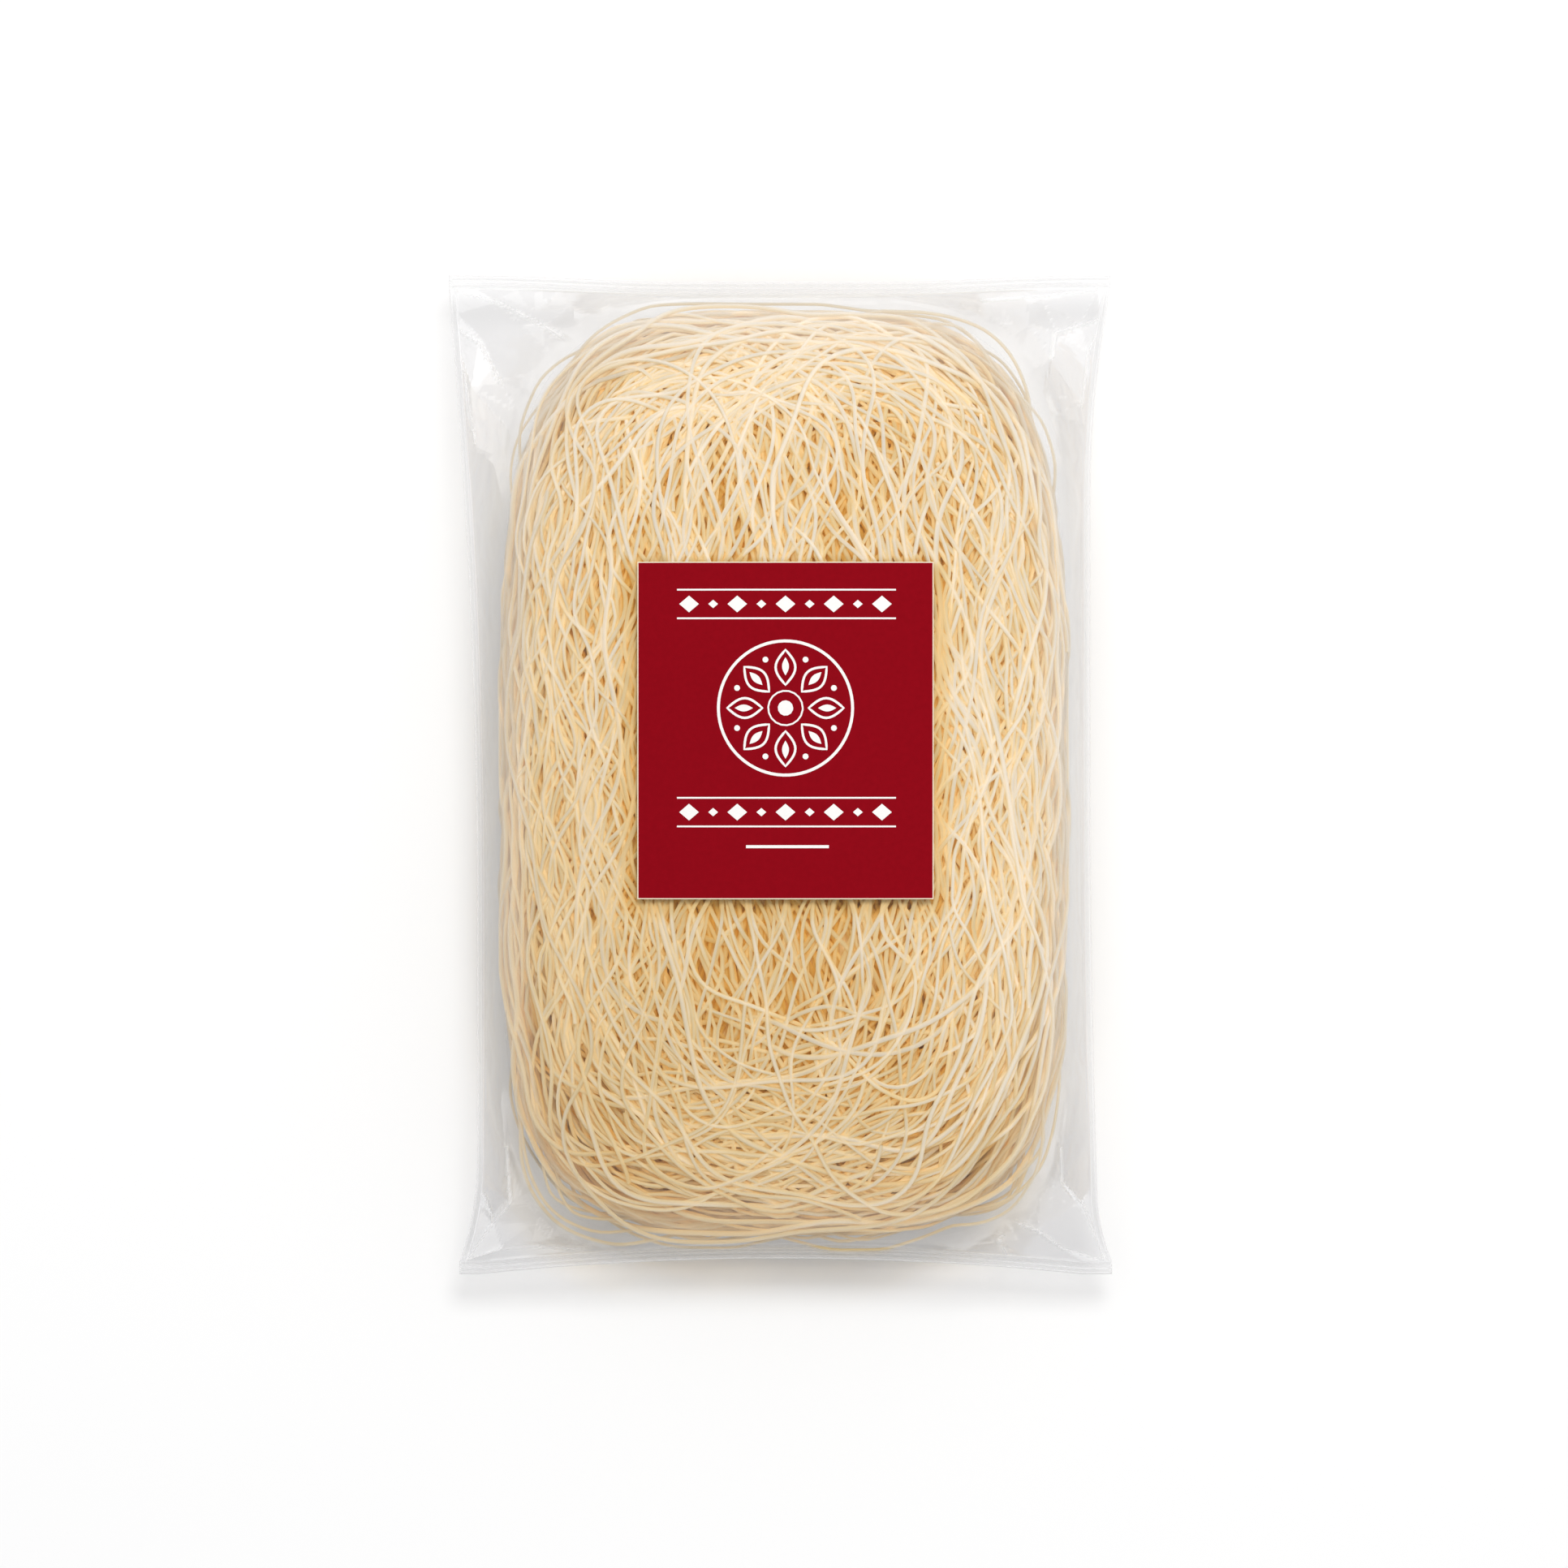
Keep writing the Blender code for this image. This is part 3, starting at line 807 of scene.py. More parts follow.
def build_film(form, look):
    """The closed envelope of clear film."""
    draw = np.random.default_rng(look.seed)
    grid = film_grid(form, look)
    front = film_sheet(form, look, grid, 1, draw)
    back = film_sheet(form, look, grid, -1, draw)
    _, _, x, y, share, creased = grid
    index = np.arange(x.size).reshape(x.shape)
    quads = np.stack([index[:-1, :-1], index[:-1, 1:], index[1:, 1:], index[1:, :-1]], axis=-1).reshape(-1, 4)
    border = np.concatenate([index[0, :-1], index[:-1, -1], index[-1, :0:-1], index[:0:-1, 0]])
    after = np.roll(border, -1)
    rim = np.stack([border, border + x.size, after + x.size, after], axis=-1)
    faces = np.concatenate([quads, quads[:, ::-1] + x.size, rim])
    points = np.concatenate([front.reshape(-1, 3), back.reshape(-1, 3)])
    made = mesh_of("film", points, np.full(len(faces), 4), faces.ravel())
    flat = np.concatenate([in_facets(share), in_facets(share), np.zeros(len(rim), bool)])
    made.data.polygons.foreach_set("use_smooth", ~flat)
    slack = slackness(form, points[:, 0], points[:, 1])
    store(made, "slack", slack)
    # Painted shade: the slack film's tint darkens towards the ends, most at the bottom.
    toward_end = smooth((np.abs(points[:, 1]) - SLACK_SHADE_FROM) / (SLACK_SHADE_TO - SLACK_SHADE_FROM))
    store(made, "crumple_and_shade", slack * toward_end * np.where(points[:, 1] > 0, SLACK_SHADE_AT_TOP, 1.0))
    # Milky pressed lines, with a painted highlight along the creases, and a painted sheen on the taut film
    # round the bundle.
    frost_and_painted_light = np.maximum(over_grid(look, WELD_FROST, FOLD_FROST), CREASE_FROST_AND_GLINT * creased)
    milky_lines_and_rim_sheen = np.maximum(frost_and_painted_light, painted_rim_sheen(form, x, y))
    store(made, "frost_and_painted_light", np.concatenate([milky_lines_and_rim_sheen.ravel(), frost_and_painted_light.ravel() / 2]))
    return made


def film_material(look):
    """Clear film: light passes straight through, and its outside reflects, sharply where it is slack."""
    made, finish = material("clear_film")
    finish.nodes.remove(finish.nodes["Principled BSDF"])
    slack = finish.attribute("slack")
    # The tint: clear over the noodles, darker where the slack ends are in painted shade.
    tint = finish.blend(finish.attribute("crumple_and_shade"), look.tint, look.slack_shade_tint)
    clear = finish.add("BsdfTransparent", {"Color": tint})["BSDF"]
    rough = finish.span(slack, look.roughness, look.slack_roughness)
    gloss = finish.add("BsdfGlossy", {"Color": (1.0, 1.0, 1.0), "Roughness": rough})["BSDF"]
    fresnel = finish.add("Fresnel", {"IOR": look.gloss_ior})["Fac"]
    share = finish.math("MINIMUM", fresnel, look.most_gloss)
    taut = finish.math("MULTIPLY_ADD", slack, 1.0 - TAUT_GLOSS, TAUT_GLOSS)
    share = finish.math("MULTIPLY", share, taut)
    inner = finish.math("MULTIPLY_ADD", slack, INNER_GLOSS, -1.0)
    inner = finish.math("MULTIPLY_ADD", finish.add("NewGeometry")["Backfacing"], inner, 1.0)
    share = finish.math("MULTIPLY", share, inner)
    path = finish.add("LightPath")
    lighting = finish.math("ADD", path["Is Shadow Ray"], path["Is Diffuse Ray"])
    lighting = finish.math("MULTIPLY_ADD", lighting, -FILM_SHADOW_CUT, 1.0)
    share = finish.math("MULTIPLY", lighting, share)
    film = finish.mix(share, clear, gloss)
    # A milky white mixed in: pressed lines in the welds and folds, a painted highlight along the creases and
    # a painted sheen round the bundle's rim.
    pressed = finish.add("BsdfDiffuse", {"Color": look.pressed_colour})["BSDF"]
    finish.surface(finish.mix(finish.attribute("frost_and_painted_light"), film, pressed))
    return made


# ---------------------------------------------------------------- noodles

WALK_STEP = 1.0 * MM

# How noodles turn back before the rim: over which distance, how sharply, how far from it at most, at
# the top, the bottom and the sides, how those distances crowd towards the rim, and how many turn.
TURN_BAND = 5 * MM
TURN_BACK = 0.7
TURNS = (18 * MM, 40 * MM, 6 * MM)
TURN_SPREAD = 1.3
TURNING = 0.8
NO_TURNS = (0, 0, 0)

# How noodles are threaded past each other: the cells and levels, and what a bump and a climb cost.
VOXEL = 0.5 * MM
LEVEL = 0.25 * MM
CLEARANCE = 0.85 * MM
BUMP_COST = 1.0
CLIMB_COST = 0.06
BOTTOM_COST = 50.0
SMOOTHING = np.array([1.0, 3.0, 5.0, 6.0, 5.0, 3.0, 1.0])

# How round the noodles are shaded, and how far the shading of the flanks leans up.
ROUND_SHADING = 0.42
SKY_SHADING = 1.6

# The noodles' colour, darker and more golden with depth as painted shade: the depth of the deepest colour as
# a share of the front's depth, where the middle colour is, and how much light the streaks (painted
# highlights) and each noodle's own brightness, with its painted rim light and lee shade, add.
DEEP_SHARE = 0.85
MIDDLE_AT = 0.26
LEAST_LIGHT = 0.86
LANE_HIGHLIGHT = 0.16
TONE_AND_PAINTED_LIGHT = 0.08
LOOSE_TRANSLUCENCY = 0.97
# Painted shade on each noodle's sides and underside: how much deeper its colour is made at the underside.
PAINTED_EDGE_SHADE = 2.4 * MM

# Painted light at the bundle's rim: its colour is made lighter and its noodles brighter, least at the bottom,
# from this share of the outline and these heights along it.
RIM_START = 0.87
PAINTED_RIM_PALING = (0.4, 0.95)
PAINTED_RIM_LIGHT_HEIGHTS = (-0.96, -0.56)
PAINTED_RIM_BRIGHTENING = 1.7

# Painted shade on the lower left, in the lee of the light: where it starts, its band, and what it adds to the
# depth that colours the noodles and takes from their brightness.
LEE_START = 0.2
LEE_ACROSS = 0.6
LEE_ALONG = 0.8
LEE_BAND = 1.2
PAINTED_LEE_SHADE_DEPTH = 0.6 * MM
PAINTED_LEE_SHADE = 0.8

# Painted shadow of the label on the noodles below its edge: what it adds to the depth that colours them, and
# how far it reaches.
LABEL_SHADE = 4.5 * MM
PAINTED_LABEL_SHADOW_DEPTH = 2.2 * MM

# The dense inside: cuts along a side of its mesh, how they crowd towards the middle, and its streaks, whose
# darker colour is painted shade between packed noodles.
CORE_CUTS = 28
CORE_SPREAD = 1.3
CORE_STREAKS = (900.0, 130.0, 900.0)
CORE_GAP_SHADE = (0.82, 0.72, 0.52)


class Stack:
    """Small cells of space that remember where noodles already lie."""

    def __init__(self, low, high, clearance):
        self.low = np.array(low) - 3 * MM
        self.shape = tuple(np.ceil((np.array(high) + 3 * MM - self.low) / VOXEL).astype(int))
        self.taken = np.zeros(self.shape, bool)
        reach = int(math.ceil(clearance / VOXEL))
        span = np.arange(-reach, reach + 1)
        ball = np.stack(np.meshgrid(span, span, span, indexing="ij"), axis=-1).reshape(-1, 3)
        self.ball = ball[(ball**2).sum(axis=1) * VOXEL**2 <= clearance**2]

    def cells(self, points):
        """Indices of the cells that hold these points."""
        found = ((points - self.low) / VOXEL).astype(int)
        return np.clip(found, 0, np.array(self.shape) - 1)

    def holds(self, points):
        """True where a noodle is already too near."""
        found = self.cells(points)
        return self.taken[found[..., 0], found[..., 1], found[..., 2]]

    def add(self, points):
        """Remembers a noodle along these points."""
        halves = (points[1:] + points[:-1]) / 2
        found = self.cells(np.concatenate([points, halves]))
        found = (found[:, None, :] + self.ball[None, :, :]).reshape(-1, 3)
        found = np.clip(found, 0, np.array(self.shape) - 1)
        self.taken[found[:, 0], found[:, 1], found[:, 2]] = True


class Walkers:
    """Noodles that are traced side by side over the heap's surface, in bunches that run alike."""

    def __init__(self, draw, count, bunch, spread, waves, top_zone, bottom_zone, side_zone, turns):
        def alike(low, high, jitter=0.0):
            values = np.repeat(draw.uniform(low, high, -(-count // bunch)), bunch)[:count]
            return values + draw.normal(0.0, 1.0, count) * jitter

        self.lean = spread * np.sin(alike(-1.4, 1.4, 0.12))
        self.top_zone = alike(*top_zone, 1.0 * MM)
        self.bottom_zone = alike(*bottom_zone, 1.5 * MM)
        self.side_zone = np.maximum(alike(*side_zone, 0.5 * MM), 2 * MM)
        self.turns = [np.abs(alike(0.0, 1.0, 0.02)) ** TURN_SPREAD * turn for turn in turns]
        self.turning = draw.random(count) < TURNING
        self.sizes = np.stack([size * alike(0.5, 1.2) for size in waves])
        self.lengths = np.stack([alike(11, 24), alike(28, 55), alike(80, 180)]) * MM
        self.phases = np.stack([alike(0.0, 2 * math.pi, 0.35) for _ in range(3)])

    def sway(self, walked):
        """How far each noodle's heading is turned after this length."""
        turns = np.sin(2 * math.pi * walked / self.lengths + self.phases)
        return (self.sizes * turns).sum(axis=0)

    def trace(self, heap, points, headings, length, follow=5 * MM):
        """Points and outward normals along every noodle: arrays (step, noodle, 3)."""
        path, normals = [], []
        for k in range(int(length / WALK_STEP)):
            _, ratio, gradient, slope = heap.shape(points)
            normal = unit(gradient)
            path.append(points)
            normals.append(normal)
            steep = np.linalg.norm(slope, axis=1)
            outward = slope / np.maximum(steep, 1e-9)[:, None]
            distance = (1.0 - ratio) / np.maximum(steep, 1e-9)
            upper = points[:, 1] > heap.centre[1]
            end_zone = np.where(upper, self.top_zone, self.bottom_zone)
            zone = self.side_zone * np.abs(outward[:, 0]) + end_zone * np.abs(outward[:, 1])
            top_turn, bottom_turn, side_turn = self.turns
            end_turn = np.where(upper, top_turn, bottom_turn)
            room = distance - side_turn * np.abs(outward[:, 0]) - end_turn * np.abs(outward[:, 1])
            near = smooth(1.0 - room / zone)[:, None]
            ring = np.stack([-outward[:, 1], outward[:, 0], 0 * ratio], axis=1)
            ring *= np.where((ring * headings).sum(axis=1) < 0, -1.0, 1.0)[:, None]
            ahead = np.where(headings[:, :2] < 0, -1.0, 1.0)
            free = np.stack([np.abs(np.sin(self.lean)), np.cos(self.lean), 0 * ratio], axis=1)
            free[:, :2] *= ahead
            back = np.stack([*outward.T, 0 * ratio], axis=1) * smooth(1.0 - room / TURN_BAND)[:, None]
            back *= np.where(self.turning, TURN_BACK, 0.0)[:, None]
            wanted = unit(free * (1.0 - near) + ring * near - back)
            wanted = unit(wanted - (wanted * normal).sum(axis=1, keepdims=True) * normal)
            sway = self.sway(k * WALK_STEP)[:, None]
            wanted = wanted * np.cos(sway) + np.cross(normal, wanted) * np.sin(sway)
            headings = unit(headings + (wanted - headings) * (WALK_STEP / follow))
            headings = unit(headings - (headings * normal).sum(axis=1, keepdims=True) * normal)
            points = heap.settle(points + headings * WALK_STEP)
        return np.array(path), np.array(normals)


def weave(stack, path, normals, bottom, wanted, hold):
    """Threads one noodle through the free space of the heap and returns its line and its depth
    under the heap's surface. Bottom is how deep it may go, wanted is how deep it would like to,
    and hold is how firmly it keeps to that."""
    depths = np.arange(0.0, bottom.max() + LEVEL, LEVEL)
    tries = path[None] - normals[None] * depths[:, None, None]
    cost = stack.holds(tries) * BUMP_COST + hold * ((depths[:, None] - wanted) / MM) ** 2
    cost += BOTTOM_COST * (depths[:, None] > bottom[None])
    total = cost[:, 0]
    choices = np.zeros(cost.shape, np.int8)
    for k in range(1, cost.shape[1]):
        options = np.stack([
            np.append(total[1:], 1e9) + CLIMB_COST, total, np.append(1e9, total[:-1]) + CLIMB_COST])
        best = options.argmin(axis=0)
        choices[:, k] = 1 - best
        total = options[best, np.arange(len(total))] + cost[:, k]
    level = int(total.argmin())
    levels = [level]
    for k in range(cost.shape[1] - 1, 0, -1):
        level += choices[level, k]
        levels.append(level)
    depth = depths[levels[::-1]]
    depth = np.convolve(np.pad(depth, 3, mode="edge"), SMOOTHING / SMOOTHING.sum(), mode="valid")
    line = path - normals * depth[:, None]
    stack.add(line)
    return line, depth


def tubes(name, lines, radii, sides, stride, painted_edge_shade, draw):
    """One mesh of round noodles along lines of (points, normals, colour depths, brightness), which carry
    painted shade and light. Light spreads inside a noodle, so it's shaded flatter than it is, by normals that
    lean out of the heap and up."""
    points, normals, counts, corners, depths, brightness_per_point, lanes = [], [], [], [], [], [], []
    start = 0
    angles = 2 * math.pi * np.arange(sides) / sides
    up = np.array([0.0, 0.0, 1.0])
    for (line, normal, depth, tone_and_painted_light), radius in zip(lines, radii):
        keep = np.unique(np.append(np.arange(0, len(line), stride), len(line) - 1))
        line, normal, depth = line[keep], normal[keep], depth[keep]
        ahead = unit(np.gradient(line, axis=0))
        out = unit(normal - (normal * ahead).sum(axis=1, keepdims=True) * ahead)
        beside = np.cross(ahead, out)
        ring = np.cos(angles)[None, :, None] * out[:, None] + np.sin(angles)[None, :, None] * beside[:, None]
        points.append((line[:, None] + radius * ring).reshape(-1, 3))
        facing_up = normal[:, 2:]
        lean = unit(normal + up * SKY_SHADING * (1.0 + facing_up) * (1.0 - np.maximum(facing_up, 0.0)))
        normals.append(unit(ring * ROUND_SHADING + lean[:, None] * (1.0 - ROUND_SHADING)).reshape(-1, 3))
        count = len(line)
        index = start + np.arange(count * sides).reshape(count, sides)
        beyond = np.roll(index, -1, axis=1)
        quads = np.stack([index[:-1], beyond[:-1], beyond[1:], index[1:]], axis=-1).reshape(-1)
        corners += [quads, index[0, ::-1], index[-1]]
        counts += [np.full((count - 1) * sides, 4), [sides, sides]]
        # Painted shade: the sides and underside of each noodle are coloured as if they lay deeper.
        depths.append((depth[:, None] + painted_edge_shade * (1.0 - np.cos(angles)) / 2).ravel())
        brightness_per_point.append(np.repeat(draw.random() + tone_and_painted_light[keep], sides))
        # Lighter and darker lanes along each noodle: painted highlight streaks.
        lanes.append(np.tile(draw.random(sides), count))
        start += count * sides
    made = mesh_of(name, np.concatenate(points), np.concatenate(counts), np.concatenate(corners))
    made.data.normals_split_custom_set_from_vertices(np.concatenate(normals))
    store(made, "depth", np.concatenate(depths))
    store(made, "tone_and_painted_light", np.concatenate(brightness_per_point))
    store(made, "lane", np.concatenate(lanes))
    return made


def noodle_material(look, name, glow, passed):
    """Dried starch noodle: cream next to the film, and darker and more golden deeper down as painted shade,
    with fine long streaks that are painted highlights. It is
    translucent: it glows where the light is behind it, and part of the light that meets it goes on,
    warmer, to the noodles below."""
    made, finish = material(name)
    depth = {"Value": finish.attribute("depth"), "From Max": DEEP_SHARE * look.front_depth}
    stops = ((0.0, look.top_colour), (MIDDLE_AT, look.middle_shade_colour), (1.0, look.deep_shade_colour))
    colour = finish.ramp(finish.add("MapRange", depth)["Result"], stops)
    # The lanes add painted highlight streaks; each noodle's brightness also carries painted rim light and lee
    # shade.
    streak = finish.math("MULTIPLY_ADD", finish.attribute("lane"), LANE_HIGHLIGHT, LEAST_LIGHT)
    light = finish.math("MULTIPLY_ADD", finish.attribute("tone_and_painted_light"), TONE_AND_PAINTED_LIGHT, streak)
    shader = finish.principled({
        "Base Color": finish.scaled(colour, light), "Roughness": 0.42, "Specular IOR Level": 0.15})
    glowing = finish.add("BsdfTranslucent", {"Color": look.glow_colour})["BSDF"]
    through = finish.add("BsdfTransparent", {"Color": look.passed_colour})["BSDF"]
    share = finish.math("MULTIPLY", finish.add("LightPath")["Is Shadow Ray"], passed)
    finish.surface(finish.mix(share, finish.mix(glow, shader, glowing), through))
    return made


def core_material(look):
    """The dense inside in painted shade: golden, with darker streaks for the shade between packed noodles
    that run along the bag.
    """
    made, finish = material("packed_noodles_in_shade")
    place = {"Vector": finish.add("TexCoord")["Object"], "Scale": CORE_STREAKS}
    streaks = finish.noise(finish.add("Mapping", place)["Vector"], 1.0, 3.0, 0.6)
    # Painted shade between the packed noodles: the deepest colour, darkened.
    dark = [value * share for value, share in zip(look.deep_shade_colour, CORE_GAP_SHADE)]
    bump = finish.add("Bump", {"Height": streaks, "Strength": 0.8, "Distance": 0.8 * MM})["Normal"]
    finish.principled({
        "Base Color": finish.ramp(streaks, ((0.35, dark), (0.62, look.middle_shade_colour))),
        "Normal": bump, "Roughness": 0.55})
    return made


def nested(form, look, share, inset=0.0, rest=0.0):
    """The heap that lies this far in from the bundle's outline to its dense inside."""
    gaps = [inset + (gap - inset) * share for gap in (look.side_gap, look.top_gap, look.bottom_gap)]
    rounder = [1.0 + (round_ - 1.0) * share for round_ in (look.top_rounder, look.bottom_rounder)]
    return Heap(form, inset, gaps[0], gaps[1:], rounder, rest)


def build_core(form, look):
    """The dense inside of the bundle, which shows only between the noodles."""
    heap = nested(form, look, CORE_NEST)
    bm = bmesh.new()
    bmesh.ops.create_cube(bm, size=2.0)
    bmesh.ops.subdivide_edges(bm, edges=bm.edges, cuts=CORE_CUTS, use_grid_fill=True)
    rays = np.array([vert.co[:] for vert in bm.verts])
    rays = np.sign(rays) * np.abs(rays) ** CORE_SPREAD
    rays *= np.array([heap.half[0], heap.half[1], heap.drop])
    level = heap.shape(heap.centre + rays)[0]
    surface = heap.centre + rays / level[:, None]
    gradient = heap.shape(surface)[2]
    normal = unit(gradient)
    depth = depth_at(look, normal) + look.radius
    places = surface - normal * depth[:, None]
    places[:, 2] = np.maximum(places[:, 2], look.back_depth)
    for vert, place in zip(bm.verts, places):
        vert.co = place
    mesh = bpy.data.meshes.new("noodle_core")
    bm.to_mesh(mesh)
    bm.free()
    mesh.shade_smooth()
    core = bpy.data.objects.new("noodle_core", mesh)
    bpy.context.scene.collection.objects.link(core)
    return core


def depth_at(look, normals):
    """How deep the loose noodles go, by which way the heap's surface faces."""
    up = np.clip(normals[:, 2], 0.0, 1.0)
    down = np.clip(-normals[:, 2], 0.0, 1.0)
    front, back = look.front_depth - look.side_depth, look.back_depth - look.side_depth
    return look.side_depth + front * up + back * down


class Layer:
    """How one layer of noodles lies: how many, how long, how deep, and how far its short, middling
    and long waves turn it."""

    def __init__(self, name, count, lengths, shares, bunch=1, spread=0.2, waves=(0.2, 0.2, 0.15),
                 dive=0.15, dive_length=(25 * MM, 60 * MM), hold=0.04, reach=1.0, shade=1.0,
                 nest=(0.7, 1.0), turn=1.0, stout=1.0, sides=6, stride=2):
        self.name, self.count, self.lengths, self.shares, self.bunch = name, count, lengths, shares, bunch
        self.spread, self.waves, self.dive, self.dive_length = spread, waves, dive, dive_length
        self.hold, self.reach, self.shade, self.nest = hold, reach, shade, nest
        self.turn, self.stout, self.sides, self.stride = turn, stout, sides, stride


SIDE_LAYER = Layer("noodles_side", 76, (120 * MM, 420 * MM), (0.0, 0.8), spread=0.2,
                   waves=(0.4, 0.35, 0.1), dive=0.5, hold=0.12, shade=0.6, sides=5, stride=4)
BACK_LAYER = Layer("noodles_back", 140, (150 * MM, 330 * MM), (0.0, 0.9), bunch=2, spread=0.3,
                   sides=5, stride=4)
FRONT_LAYERS = (
    Layer("noodles_front_deepest", 228, (150 * MM, 330 * MM), (0.8, 1.0), bunch=1, spread=0.4,
          waves=(0.5, 0.5, 0.3), nest=(0.8, 1.2), turn=0.15, stout=1.1, sides=5, stride=4),
    Layer("noodles_front_deep", 160, (150 * MM, 330 * MM), (0.5, 0.8), spread=0.35,
          waves=(0.35, 0.45, 0.3), nest=(0.6, 1.1), turn=0.5, stout=0.95, sides=5, stride=3),
    Layer("noodles_front_middle", 84, (150 * MM, 380 * MM), (0.25, 0.6), spread=0.32,
          waves=(0.25, 0.45, 0.25), nest=(0.35, 1.0), dive=0.2, stout=0.88),
    Layer("noodles_front_upper", 44, (120 * MM, 400 * MM), (0.05, 0.3), spread=0.3,
          waves=(0.15, 0.4, 0.3), dive=0.12, dive_length=(40 * MM, 90 * MM),
          nest=(0.1, 0.95), stout=0.98, sides=7),
    Layer("noodles_front_top", 28, (160 * MM, 400 * MM), (0.0, 0.12), spread=0.4,
          waves=(0.05, 0.3, 0.3), dive=0.08, dive_length=(50 * MM, 110 * MM),
          nest=(0.15, 0.95), stout=1.05, sides=8),
)
LOOSE_LAYER = Layer("noodles_loose", 18, (60 * MM, 320 * MM), (0.0, 0.9), spread=0.1,
                    waves=(0.15, 0.35, 0.2), dive=0.45, dive_length=(30 * MM, 90 * MM), hold=1.0, reach=1.9,
                    shade=0.2, stout=0.66)
STRAY_LAYER = Layer("noodles_stray", 8, (60 * MM, 150 * MM), (0.0, 0.6), spread=0.1,
                    waves=(0.1, 0.2, 0.1), dive=0.3, dive_length=(50 * MM, 120 * MM), hold=0.8, reach=1.3,
                    shade=0.2, stout=0.66)
RIM_PIECES = ("noodles_side", "noodles_loose", "noodles_stray")

# Gaps between the noodles and the floor and film, and the heights that the flanks' noodles start at.
REST_GAP = 0.3 * MM
FILM_GAP = 0.4 * MM
SIDE_HEIGHTS = (-11 * MM, 15 * MM)
LOOSE_HEIGHTS = (-7 * MM, 6 * MM)
STRAY_HEIGHTS = (-3 * MM, 2 * MM)

# Noodles lie on nested heaps, from this share of the loose rim in to that. Stray ones follow a heap
# with squarer corners. Every noodle's ends go down, over this length.
STRAY_SQUARENESS = (1.15, 1.12)
NESTED_HEAPS = 4
CORE_NEST = 1.5
SIDE_NEST = (1.0, 0.55)
END_DIVE = 18 * MM
END_DEPTH = 1.05
UNEVEN = (0.78, 1.12)

# How far across and along the heap noodles on the front and back may start, and how far from its
# rim they start to follow it.
START_REACH = (0.95, 0.92)
TOP_ZONE = (8 * MM, 30 * MM)
BOTTOM_ZONE = (10 * MM, 50 * MM)
SIDE_ZONE = (3 * MM, 10 * MM)


def face_starts(draw, heap, count):
    """X and Y of starts spread evenly across the bag."""
    across = draw.permutation((np.arange(count) + draw.random(count)) / count) * 2.0 - 1.0
    along = draw.uniform(-1.0, 1.0, count)
    x = across * heap.half[0] * START_REACH[0]
    reach = (1.0 - (np.abs(x) / heap.half[0]) ** 4) ** 0.25
    return heap.centre[0] + x, heap.centre[1] + along * reach * heap.half[1] * START_REACH[1]


def wanted_depth(draw, layer, count, bottom):
    """How deep a noodle would like to lie along its length: it rises, dips, and ends deep down."""
    walked = np.arange(count) * WALK_STEP
    wave = np.sin(2 * math.pi * walked / draw.uniform(*layer.dive_length) + draw.uniform(0.0, 2 * math.pi))
    share = draw.uniform(*layer.shares) + layer.dive * wave
    from_end = np.minimum(walked, walked[::-1])
    ending = smooth(1.0 - from_end / END_DIVE)
    return (np.clip(share, 0.0, 1.0) * (1.0 - ending) + END_DEPTH * ending) * bottom


def lay_all(draw, stack, look, layer, path, normals):
    """Threads traced noodles into the heap one by one. Returns (line, normals, depth) of each."""
    laid = []
    ends = (draw.uniform(*layer.lengths, path.shape[1]) / WALK_STEP).astype(int)
    for k, end in enumerate(ends):
        line, normal = path[:end, k], normals[:end, k]
        bottom = depth_at(look, normal) * layer.reach
        wanted = wanted_depth(draw, layer, end, bottom)
        placed, depth = weave(stack, line, normal, bottom, wanted, layer.hold)
        laid.append((placed, normal, depth))
    return laid


def lay_face(draw, stack, heaps, look, layer, facing):
    """Lays noodles over the front or the back, a share of them on each heap, and returns their lines."""
    laid = []
    for heap in heaps:
        count = layer.count // len(heaps)
        x, y = face_starts(draw, heap, count)
        points = heap.on_face(x, y + draw.normal(0.0, 6 * MM, count), facing)
        walkers = Walkers(draw, count, layer.bunch, layer.spread, layer.waves,
                          TOP_ZONE, BOTTOM_ZONE, SIDE_ZONE, layer.turn * np.array(TURNS))
        turn = np.where(draw.random(count) < 0.5, 1.0, -1.0)
        headings = np.stack([0 * x, turn, 0 * x], axis=1)
        path, normals = walkers.trace(heap, points, headings, layer.lengths[1])
        laid += lay_all(draw, stack, look, layer, path, normals)
    return laid


def lay_sides(draw, stack, heap, look, layer, heights):
    """Lays noodles round the flanks, and returns their lines."""
    angle = draw.uniform(0.0, 2 * math.pi, layer.count)
    points = heap.on_side(angle, draw.uniform(*heights, layer.count))
    far = (0.9, 1.0)
    walkers = Walkers(draw, layer.count, layer.bunch, layer.spread, layer.waves, far, far, far, NO_TURNS)
    walkers.turning[:] = False
    turn = np.where(draw.random(layer.count) < 0.5, 1.0, -1.0)
    slope = heap.shape(points)[3]
    headings = unit(np.stack([-slope[:, 1] * turn, slope[:, 0] * turn, 0 * turn], axis=1))
    path, normals = walkers.trace(heap, points, headings, layer.lengths[1])
    return lay_all(draw, stack, look, layer, path, normals)


def lee_of(form, line):
    """How far points lie in the lee of the light, which comes from the top right: 0 to 1."""
    across = (line[:, 0] - form.bundle_centre[0]) / form.bundle_half_width
    along = (line[:, 1] - form.bundle_centre[1]) / form.bundle_half_length
    return smooth((LEE_START - LEE_ACROSS * across - LEE_ALONG * along) / LEE_BAND)


def rim_of(form, line):
    """How near points are to the bundle's rim, 0 to 1."""
    return smooth((bundle_ratio(form, line[:, 0], line[:, 1]) - RIM_START) / (1.0 - RIM_START))


